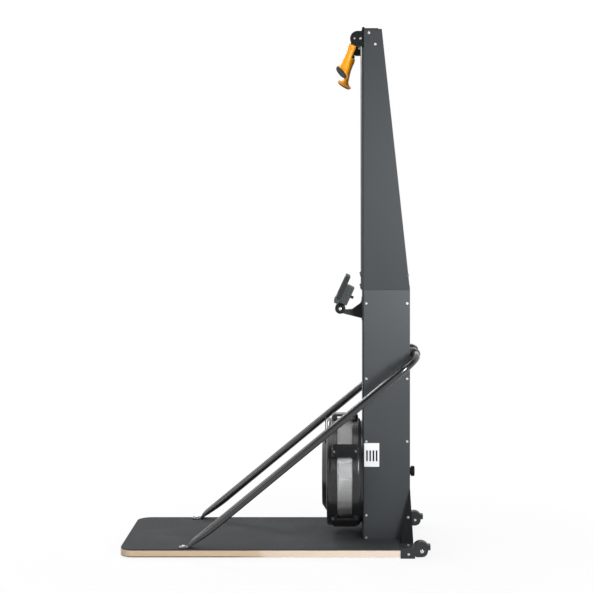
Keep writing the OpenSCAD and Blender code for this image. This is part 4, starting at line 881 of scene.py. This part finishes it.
VENT_T = 1 * MM
VENT_CORNER_R, VENT_EDGE_R = 1.2 * MM, 0.2 * MM
VENT_SLOTS = 4
VENT_PITCH, VENT_FIRST = 13.4 * MM, 11.6 * MM
VENT_SLOT_W, VENT_SLOT_L = 6.8 * MM, 46.5 * MM
VENT_SLOT_LOW = 22 * MM
# Points this near are joined, and the two bends at a slot's end stay further apart than that
SLOT_WELD, SLOT_END_GAP = 0.0005 * MM, 0.01 * MM


def rounded_outline(low_x, low_z, high_x, high_z, corner):
    """Points round an upright rectangle with rounded corners, as (x, z) pairs."""
    points = []
    for x, z, turn in (
        (high_x - corner, high_z - corner, 0), (low_x + corner, high_z - corner, 90),
        (low_x + corner, low_z + corner, 180), (high_x - corner, low_z + corner, 270),
    ):
        points += arc_points((x, z), corner, turn, turn + 90, 8)
    return points


def build_vent_plates():
    """Two thin white plates with rounded slots."""
    low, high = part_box("vent_plates")
    outlines = [rounded_outline(low.x, low.z, high.x, high.z, VENT_CORNER_R)]
    half = VENT_SLOT_W / 2
    slot_z = low.z + VENT_SLOT_LOW
    for k in range(VENT_SLOTS):
        middle = low.x + VENT_FIRST + k * VENT_PITCH
        outlines.append(rounded_outline(
            middle - half, slot_z, middle + half, slot_z + VENT_SLOT_L, half - SLOT_END_GAP
        ))
    bm = bmesh.new()
    for sign in (RIGHT, LEFT):
        edges = []
        for outline in outlines:
            ring = [bm.verts.new((x, sign * (high.y - VENT_T), z)) for x, z in outline]
            edges += [bm.edges.new((ring[i - 1], ring[i])) for i in range(len(ring))]
        made = bmesh.ops.triangle_fill(bm, edges=edges, use_beauty=True)
        faces = [part for part in made["geom"] if isinstance(part, bmesh.types.BMFace)]
        raised = bmesh.ops.extrude_face_region(bm, geom=faces, use_keep_orig=True)
        tops = [part for part in raised["geom"] if isinstance(part, bmesh.types.BMVert)]
        bmesh.ops.translate(bm, verts=tops, vec=(0, sign * VENT_T, 0))
    bmesh.ops.remove_doubles(bm, verts=bm.verts, dist=SLOT_WELD)
    plates = new_piece(
        "vent_plates_slotted", bm, "vent_paint", "root", ("vent_plates",), smooth=False
    )
    round_edges(plates, VENT_EDGE_R, 2)


# A dark sheet that stands for the shade inside the tower behind the vent slots: its thickness, and how far inside
# the side panel's inner face it sits
SHADE_SHEET_T = 1.0 * MM
SHADE_SHEET_INSIDE = 1.3 * MM
PLEAT_DEPTH, PLEATS = 0.6 * MM, 12


def build_vent_shade_sheets():
    """A pleated black sheet inside the tower, behind the slots of each vent plate: painted shade, so that the
    slots look dark.
    """
    low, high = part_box("vent_plates")
    inner_y = -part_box("right_lower_panel")[1].y
    for side, sign in SIDES.items():
        bm = bmesh.new()
        bmesh.ops.create_grid(bm, x_segments=24, y_segments=30, size=0.5)
        for vert in bm.verts:
            x = low.x + (vert.co.x + 0.5) * (high.x - low.x)
            z = low.z + (vert.co.y + 0.5) * (high.z - low.z)
            pleat = PLEAT_DEPTH * sin(vert.co.x * 2 * pi * PLEATS)
            vert.co = Vector((x, sign * (inner_y - SHADE_SHEET_INSIDE + pleat), z))
        shade_sheet = new_piece(f"{side}_vent_shade_sheet", bm, "black_plastic")
        thicken(shade_sheet, "shade sheet thickness", SHADE_SHEET_T, 0.0)


# Handles and cords

CORD_R, CORD_SIDES, CORD_STEPS = 2.5 * MM, 14, 60
# The cord's middle line round a pulley, and how deep the cord is held in its grip
ROPE_LINE_R = 20 * MM
CORD_IN_GRIP = 30 * MM
# The cord's free run from the front pulley to the handle's top
DROPS = {"right": 36 * MM, "left": 50 * MM}

GRIP_L = 117 * MM
GRIP_TOP_R, GRIP_WAIST_R, GRIP_FLARE_R = 15.5 * MM, 13.5 * MM, 17.5 * MM
GRIP_TOP_EDGE_R = 3 * MM
GRIP_BORE_R = 3.0 * MM
GRIP_SIDES = 48
GRIP_STEPS, NECK_STEPS = 24, 8
# Where the neck begins, as a share of the grip's length, and how wide it ends, as one of the rest
NECK_START, NECK_END = 0.86, 0.86
# The grips are flattened towards the rest, and the left one hangs with its narrow way to the side
GRIP_WIDE, GRIP_NARROW = 1.04, 0.74
IN_PLANE = {"right": GRIP_WIDE, "left": GRIP_NARROW}
ACROSS = {"right": GRIP_NARROW, "left": GRIP_WIDE}

REST_R, REST_T, REST_EDGE_R = 33 * MM, 5 * MM, 2.3 * MM
REST_SLANTS = {"right": 27, "left": 17}
REST_TURN = 15
PAD_R, PAD_T, PAD_EDGE_R = 30 * MM, 5 * MM, 4 * MM
PAD_HOLLOW = 1.5 * MM
PAD_STEPS = 6


def pull_axis(side):
    """The way a handle is pulled."""
    for joint in frame["joints"]:
        if joint["name"] == f"{side}_handle_pull":
            return Vector(joint["axis"]).normalized()
    raise ValueError(side)


def cord_exit(side):
    """Where the cord leaves the front pulley."""
    along = pull_axis(side)
    out = Vector((along.z, 0, -along.x))
    return mid(f"{side}_front_pulley") + out * ROPE_LINE_R


def handle_frame(side):
    """The handle's own frame: its origin at its top, the grip along -Z."""
    along = pull_axis(side)
    tilt = atan2(-along.x, -along.z)
    top = cord_exit(side) + along * DROPS[side]
    return Matrix.Translation(top) @ Matrix.Rotation(tilt, 4, "Y")


def rest_frame(side):
    """The hand rest's own frame, slanted and turned a little at the grip's end."""
    turn = Euler((radians(REST_TURN * SIDES[side]), radians(REST_SLANTS[side]), 0))
    end = handle_frame(side) @ Matrix.Translation((0, 0, -GRIP_L))
    return end @ turn.to_matrix().to_4x4()


def ring_in(place, z, radius, oval=(1.0, 1.0)):
    return [
        place @ Vector((radius * oval[0] * cos(a), radius * oval[1] * sin(a), z))
        for a in turns(GRIP_SIDES)
    ]


def grip_oval(side, share):
    """How far a grip's section is from round, from 0 at its top to 1 at its neck."""
    return 1 + (IN_PLANE[side] - 1) * share, 1 + (ACROSS[side] - 1) * share


def build_grip(side):
    """A moulded grip that flares into a tilted hand rest."""
    grip, rest = handle_frame(side), rest_frame(side)
    rings = [ring_in(grip, -CORD_IN_GRIP, GRIP_BORE_R), ring_in(grip, 0, GRIP_BORE_R)]
    shoulder = (GRIP_TOP_R - GRIP_TOP_EDGE_R, -GRIP_TOP_EDGE_R)
    rings += [ring_in(grip, z, r) for r, z in arc_points(shoulder, GRIP_TOP_EDGE_R, 90, 0, 5)]
    for i in range(1, GRIP_STEPS + 1):
        t = i / GRIP_STEPS
        z = -(GRIP_TOP_EDGE_R + t * (NECK_START * GRIP_L - GRIP_TOP_EDGE_R))
        waist = GRIP_TOP_R + (GRIP_WAIST_R - GRIP_TOP_R) * smooth_step(t / 0.5)
        flare = (GRIP_FLARE_R - GRIP_WAIST_R) * smooth_step((t - 0.5) / 0.5)
        rings.append(ring_in(grip, z, waist + flare, grip_oval(side, smooth_step(t / 0.8))))

    neck = grip @ Matrix.Translation((0, 0, -NECK_START * GRIP_L))
    for i in range(1, NECK_STEPS + 1):
        t = i / NECK_STEPS
        turn = neck.to_quaternion().slerp(rest.to_quaternion(), smooth_step(t))
        centre = neck.translation.lerp(rest.translation, t)
        section = Matrix.Translation(centre) @ turn.to_matrix().to_4x4()
        radius = GRIP_FLARE_R + (REST_R * NECK_END - GRIP_FLARE_R) * t ** 3
        rings.append(ring_in(section, 0, radius, grip_oval(side, 1 - smooth_step(t))))
    rim = arc_points((REST_R - REST_EDGE_R, -REST_EDGE_R), REST_EDGE_R, 80, -90, 8)
    rings += [ring_in(rest, z, r) for r, z in rim]
    rings.append(ring_in(rest, -REST_T, PAD_R - 4 * MM))
    new_piece(
        f"{side}_grip_moulded", loft(rings), "handle_yellow", f"{side}_handle",
        (f"{side}_handle_grip",),
    )


def build_rest_pad(side):
    """A soft pad under the hand rest, with a rounded edge and a slight hollow."""
    rest = rest_frame(side)
    seat_z, face_z = -REST_T + 0.2 * MM, -REST_T - PAD_T
    rings = [ring_in(rest, seat_z, PAD_R - 3 * MM), ring_in(rest, seat_z, PAD_R - 1 * MM)]
    edge = arc_points((PAD_R - PAD_EDGE_R, face_z + PAD_EDGE_R), PAD_EDGE_R, 0, -90, 6)
    rings += [ring_in(rest, z, r) for r, z in edge]
    for i in range(1, PAD_STEPS):
        t = i / PAD_STEPS
        rings.append(ring_in(rest, face_z + PAD_HOLLOW * t * t, (PAD_R - PAD_EDGE_R) * (1 - t)))
    new_piece(
        f"{side}_rest_pad_soft", loft(rings), "pad_rubber", f"{side}_handle",
        (f"{side}_handle_pad",),
    )


GRIP_RIBS = 3
GRIP_RIB_FIRST, GRIP_RIB_PITCH = 12 * MM, 5 * MM
# How far the first rib's foot is sunk in the grip, and how much further each next one is
GRIP_RIB_SUNK, GRIP_RIB_TAPER = 0.1 * MM, 0.16 * MM
GRIP_RIB_FOOT_HALF, GRIP_RIB_CREST_HALF, GRIP_RIB_PROUD = 1 * MM, 0.4 * MM, 0.5 * MM


def build_grip_ribs(side):
    """Fine ribs round the grip, near its top."""
    grip = handle_frame(side)
    axis = grip.to_quaternion() @ Vector((0, 0, 1))
    for i in range(GRIP_RIBS):
        z = -(GRIP_RIB_FIRST + GRIP_RIB_PITCH * i)
        foot = GRIP_TOP_R - GRIP_RIB_SUNK - GRIP_RIB_TAPER * i
        crest = foot + GRIP_RIB_PROUD
        profile = [
            (foot, z - GRIP_RIB_FOOT_HALF), (crest, z - GRIP_RIB_CREST_HALF),
            (crest, z + GRIP_RIB_CREST_HALF), (foot, z + GRIP_RIB_FOOT_HALF),
        ]
        rib = lathe(profile, grip.translation, axis, 40)
        new_piece(f"{side}_grip_rib_{i}", rib, "handle_yellow", f"{side}_handle")


def tube_along(path, radius):
    """A round tube along a path that lies in a plane across Y."""
    out = Vector((0, 1, 0))
    rings = []
    for i, point in enumerate(path):
        before, after = path[max(i - 1, 0)], path[min(i + 1, len(path) - 1)]
        along = (after - before).normalized()
        flat = (out - along * out.dot(along)).normalized()
        rings.append(circle_points(point, flat, along.cross(flat), radius, CORD_SIDES))
    return loft(rings)


def round_pulley(centre, start, end, steps):
    """The cord's middle line round a pulley, between two angles."""
    return [
        Vector((centre.x + dx, centre.y, centre.z + dz))
        for dx, dz in arc_points((0, 0), ROPE_LINE_R, start, end, steps)
    ]


# The cord's end on its drum: how far inside the winding's rim, and above the drum's middle
WINDING_IN, WINDING_UP = 2.5 * MM, 18.5 * MM


def build_cord_in_tower(side):
    """The run that stays in the tower: over both pulleys and down to the drum."""
    leave = cord_exit(side)
    front, top = mid(f"{side}_front_pulley"), mid(f"{side}_top_pulley")
    run = top - front
    run_angle = degrees(atan2(run.z, run.x)) + 90
    out_angle = degrees(atan2(leave.z - front.z, leave.x - front.x)) % 360
    path = round_pulley(front, out_angle, run_angle, 14) + round_pulley(top, run_angle, 0, 10)
    low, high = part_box(f"{side}_winding")
    middle, winding_r = (low + high) / 2, (high.z - low.z) / 2
    end_y = SIDES[side] * (winding_r - WINDING_IN)
    path.append(Vector((middle.x, end_y, middle.z + WINDING_UP)))
    cord = tube_along(path, CORD_R)
    new_piece(f"{side}_cord_in_tower", cord, "cord_black", "root", (f"{side}_cord",))


def build_cord_pulled(side):
    """The run from the pulley into the grip, which grows as the handle is pulled."""
    along, leave = pull_axis(side), cord_exit(side)
    out = Vector((0, 1, 0))
    step = along * ((DROPS[side] + CORD_IN_GRIP) / CORD_STEPS)
    rings = [
        circle_points(leave + step * i, out, along.cross(out), CORD_R, CORD_SIDES)
        for i in range(CORD_STEPS + 1)
    ]
    pulled = new_piece(f"{side}_cord_pulled", loft(rings), "cord_black", None)
    handle_top = leave + along * DROPS[side]
    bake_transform(pulled, "root", f"{side}_handle", start=tuple(leave), end=tuple(handle_top))


STOPPER_ABOVE_GRIP = 16 * MM


def build_cord_stopper(side):
    """A rubber bead on the cord, just above the grip."""
    along = pull_axis(side)
    bore = CORD_R + 0.1 * MM
    profile = [(bore, 0)] + arc_points((8 * MM, -6 * MM), 3 * MM, 90, 0, 4)
    profile += [(11 * MM, -12 * MM)] + arc_points((9 * MM, -13 * MM), 2 * MM, 0, -90, 3)
    profile += [(bore, -15 * MM)]
    place = cord_exit(side) + along * (DROPS[side] - STOPPER_ABOVE_GRIP)
    stopper = lathe(profile, place, -along, 40)
    new_piece(f"{side}_cord_stopper", stopper, "pad_rubber", f"{side}_handle")


# Monitor

BOLT_HEAD_H = 4 * MM
WASHER_GAP = 0.4 * MM


def build_knuckle_rings():
    """Black friction washers between the monitor's knuckle and the heads of its pivot bolt."""
    bolt_low, bolt_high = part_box("monitor_pivot_bolt")
    centre = mid("monitor_pivot_bolt")
    inner = (bolt_high.z - bolt_low.z) / 2 + WASHER_GAP
    outer = centre.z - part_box("monitor_case")[0].z - 1.2 * MM
    seat_y = bolt_high.y - BOLT_HEAD_H
    profile = [
        (inner, -0.1 * MM), (inner, 0.8 * MM), (inner + 0.8 * MM, 1.4 * MM),
        (outer - 1.4 * MM, 1.4 * MM), (outer, 0.4 * MM), (outer, -0.1 * MM),
    ]
    for side, sign in SIDES.items():
        washer = lathe(profile, (centre.x, sign * seat_y, centre.z), (0, sign, 0), 64)
        new_piece(f"{side}_knuckle_washer", washer, "black_plastic")


# Wheels

HUB_R, AXLE_BORE_R = 15.5 * MM, 5.05 * MM
TYRE_EDGE_R = 4 * MM
# A shallow groove round the middle of the tread
GROOVE_D = 0.8 * MM


def build_wheel(side):
    """A rubber tyre on a plain black hub."""
    node = f"{side}_wheel"
    low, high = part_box(node)
    centre = (low + high) / 2
    radius, half = (high.z - low.z) / 2, (high.y - low.y) / 2
    shoulder_r = radius - TYRE_EDGE_R
    tyre = [(HUB_R, -half + 1.5 * MM), (shoulder_r - 2 * MM, -half)]
    tyre += arc_points((shoulder_r, -half + TYRE_EDGE_R), TYRE_EDGE_R, -80, 0, 5)
    tyre += [(radius, -3 * MM), (radius - GROOVE_D, -2 * MM)]
    hub = [
        (AXLE_BORE_R, -half), (9 * MM, -half), (9.5 * MM, -half + 2 * MM),
        (13 * MM, -half + 3 * MM), (HUB_R - 0.5 * MM, -half + 1.6 * MM), (HUB_R, -half + 2 * MM),
    ]
    rubber = lathe(with_mirror(tyre), centre, (0, 1, 0), 64)
    new_piece(f"{side}_tyre", rubber, "wheel_rubber", node, (node,))
    moulding = lathe(with_mirror(hub), centre, (0, 1, 0), 64)
    new_piece(f"{side}_wheel_hub", moulding, "black_plastic", node)


# Everything in its place

build_brace()
build_mesh_band()
build_intake_guard()
build_rim_ribs()
build_spacer_rings()
build_knuckle_rings()
build_vent_plates()
build_vent_shade_sheets()
for side in SIDES:
    build_grip(side)
    build_rest_pad(side)
    build_grip_ribs(side)
    build_cord_in_tower(side)
    build_cord_pulled(side)
    build_cord_stopper(side)
    build_wheel(side)

# How far each node's edges are rounded, in millimetres
rounded_widths = {
    "platform_board": 1.5, "platform_mat": 1.2, "right_corner_bracket": 0.8,
    "left_corner_bracket": 0.8, "brace_saddles": 1.2, "base_gussets": 0.8,
    "lower_front_panel": 0.6, "lower_rear_panel": 0.6, "right_lower_panel": 0.6,
    "left_lower_panel": 0.6, "upper_front_panel": 0.6, "upper_rear_panel": 0.6,
    "right_upper_panel": 0.6, "left_upper_panel": 0.6, "top_cap": 0.7,
    "rear_bearing_cap": 1.2, "fan_rear_cover": 1.0, "fan_front_cover": 0.8,
    "fan_spacers": 4.0, "right_pulley_housing": 1.2, "left_pulley_housing": 1.2,
    "monitor_arm": 1.5, "monitor_case": 1.4, "monitor_bezel": 0.8, "monitor_screen": 0.3,
    "monitor_key_1": 1.0, "monitor_key_2": 1.0, "monitor_key_3": 1.0, "monitor_key_4": 1.0,
    "damper": 0.6, "fan_screws": 0.3, "base_bolts": 0.3, "monitor_pivot_bolt": 0.6,
    "pulley_axles": 0.3,
}
for node, width in rounded_widths.items():
    rounded_copy(node, width * MM, material=own_finish.get(node))

# The bolts of the front seam are black, and the screws of the side panels bright
SCREW_EDGE, SEAM_DEPTH = 0.3 * MM, 4 * MM
seam_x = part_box("right_lower_panel")[0].x + SEAM_DEPTH
rounded_copy("panel_screws", SCREW_EDGE, keep=lambda at: at.x > seam_x)
rounded_copy(
    "panel_screws", SCREW_EDGE, name="seam_bolts_finished", material=DARK_STEEL,
    keep=lambda at: at.x <= seam_x,
)

# The nodes that no piece stands for are shown as they are, in their slot's finish
for node, carried in nodes.items():
    if not carried.hide_render:
        for place in carried.material_slots:
            place.material = finishes[slot_of[node]]


# Studio: a pale floor, white all round for the camera and for gloss, and soft lamps

WHITE = (1.0, 1.0, 1.0)
FLOOR_HALF = 60.0
FLOOR_DROP = 0.4 * MM
FLOOR_GREYS = (0.84, 0.84, 0.84), (0.88, 0.88, 0.88)
# How much of the floor's tone is plain white near the machine, and where it is all white
FLOOR_WHITE_SHARE = 0.87
FLOOR_NEAR, FLOOR_FAR = 0.55, 1.3
# Distances along the machine count for less, because it is longer than it is wide
FLOOR_STRETCH = (0.75, 1.0, 0.0)
# The room's own light, and how much darker gloss sees it above and in front of the machine
ROOM_LIGHT = 0.43
ROOM_DIM = 0.88


def ray_is(tree, *kinds):
    """A mask that is 1 for rays of the kinds named."""
    path = add(tree, "LightPath")
    mask = path.outputs[f"Is {kinds[0]} Ray"]
    for kind in kinds[1:]:
        mask = calc(tree, "MAXIMUM", mask, path.outputs[f"Is {kind} Ray"])
    return mask


def floor_finish():
    """Pale floor that keeps the shadow, and runs out to white where the camera or gloss sees it."""
    material, tree, surface = empty_material("studio_floor")
    where = place_in_metres(tree)
    clouds = spread(tree, noise(tree, where, 3.0, 3.0), 0.3, 0.7)
    feed(tree, surface, {
        "Base Color": mix(tree, clouds, *FLOOR_GREYS),
        "Roughness": 0.9,
        "Specular IOR Level": 0.1,
    })
    reach = vector_calc(tree, "MULTIPLY", where, FLOOR_STRETCH)
    reach = vector_calc(tree, "LENGTH", reach.outputs[0]).outputs["Value"]
    share = spread(tree, reach, FLOOR_NEAR, FLOOR_FAR, FLOOR_WHITE_SHARE, 1.0)
    seen = ray_is(tree, "Camera", "Glossy", "Transmission")
    white = add(tree, "Emission", {"Color": WHITE, "Strength": 1.0})
    both = add(tree, "MixShader", {
        0: calc(tree, "MULTIPLY", seen, share), 1: surface.outputs[0], 2: white.outputs[0],
    })
    output = next(node for node in tree.nodes if node.type == "OUTPUT_MATERIAL")
    feed(tree, output, {"Surface": both.outputs[0]})
    return material


def build_studio():
    bm = bmesh.new()
    bmesh.ops.create_grid(bm, x_segments=1, y_segments=1, size=FLOOR_HALF)
    floor = mesh_object("studio_floor", bm, floor_finish())
    floor.location = (0, 0, -FLOOR_DROP)


def build_world():
    """White to the camera. Gloss sees a white sweep, and a dim room above and in front."""
    world = bpy.data.worlds.new("studio")
    bpy.context.scene.world = world
    world.use_nodes = True
    tree = world.node_tree
    tree.nodes.clear()
    way = axes_of(tree, add(tree, "TexCoord").outputs["Generated"])
    above = spread(tree, way["Z"], 0.03, 0.22)
    in_front = spread(tree, way["Y"], 0.25, -0.15)
    dim = calc(tree, "MULTIPLY", calc(tree, "MULTIPLY", above, in_front), ROOM_DIM)
    lit = calc(tree, "SUBTRACT", 1.0, dim)
    strength = calc(tree, "MAXIMUM", ray_is(tree, "Camera", "Transmission"), lit)
    light = add(tree, "Background", {"Color": WHITE, "Strength": ROOM_LIGHT})
    white = add(tree, "Background", {"Color": WHITE, "Strength": strength})
    both = add(tree, "MixShader", {
        0: ray_is(tree, "Camera", "Glossy", "Transmission"),
        1: light.outputs[0],
        2: white.outputs[0],
    })
    add(tree, "OutputWorld", {"Surface": both.outputs[0]})


# Each lamp's place, the point it is aimed at, its width and height in metres, and its watts
LAMPS = {
    "key_box": ((1.5, -2.6, 1.3), (0.35, 0.0, 1.35), 0.7, 0.8, 19),
    "front_box": ((-2.8, -3.4, 2.0), (0.0, 0.0, 0.6), 1.5, 1.8, 30),
    "far_box": ((-1.4, 3.4, 3.0), (0.2, 0.0, 0.9), 1.2, 1.2, 60),
    "top_box": ((0.2, -0.6, 4.0), (0.1, 0.0, 0.5), 1.8, 1.8, 30),
    "left_box": ((-2.4, 0.2, 2.8), (-0.1, 0.0, 0.6), 1.6, 1.6, 29),
}
# The key lamp is a little cool, and shielded to a narrow beam
KEY_SPREAD = radians(78)
KEY_COLOUR = (0.93, 0.97, 1.0)


def build_lamps():
    for name, (place, aim, width, height, watts) in LAMPS.items():
        lamp = bpy.data.lights.new(name, "AREA")
        lamp.shape = "RECTANGLE"
        lamp.size, lamp.size_y = width, height
        lamp.energy = watts
        holder = place_in_scene(name, lamp)
        holder.location = place
        direction = Vector(aim) - Vector(place)
        holder.rotation_euler = direction.to_track_quat("-Z", "Y").to_euler()
    key = bpy.data.lights["key_box"]
    key.spread = KEY_SPREAD
    key.color = KEY_COLOUR


# Camera, level, along +Y, as far from the machine's middle plane as the photo's perspective says
CAMERA_X, CAMERA_BACK, CAMERA_Z = 0.2785, 6.250, 1.4685
FOCAL_PX, FRAME_PX, SENSOR_MM = 1473.3, 593.0, 36.0
VANISH_X, VANISH_Y = 343.5, 195.0


def build_camera():
    lens = bpy.data.cameras.new("camera")
    lens.sensor_width = SENSOR_MM
    lens.lens = FOCAL_PX / FRAME_PX * SENSOR_MM
    lens.shift_x = (FRAME_PX / 2 - VANISH_X) / FRAME_PX
    lens.shift_y = (VANISH_Y - FRAME_PX / 2) / FRAME_PX
    camera = place_in_scene("camera", lens)
    camera.location = (CAMERA_X, -CAMERA_BACK, CAMERA_Z)
    camera.rotation_euler = (radians(90), 0, 0)
    bpy.context.scene.camera = camera


build_studio()
build_world()
build_lamps()
build_camera()
bpy.context.scene.view_settings.view_transform = "Standard"
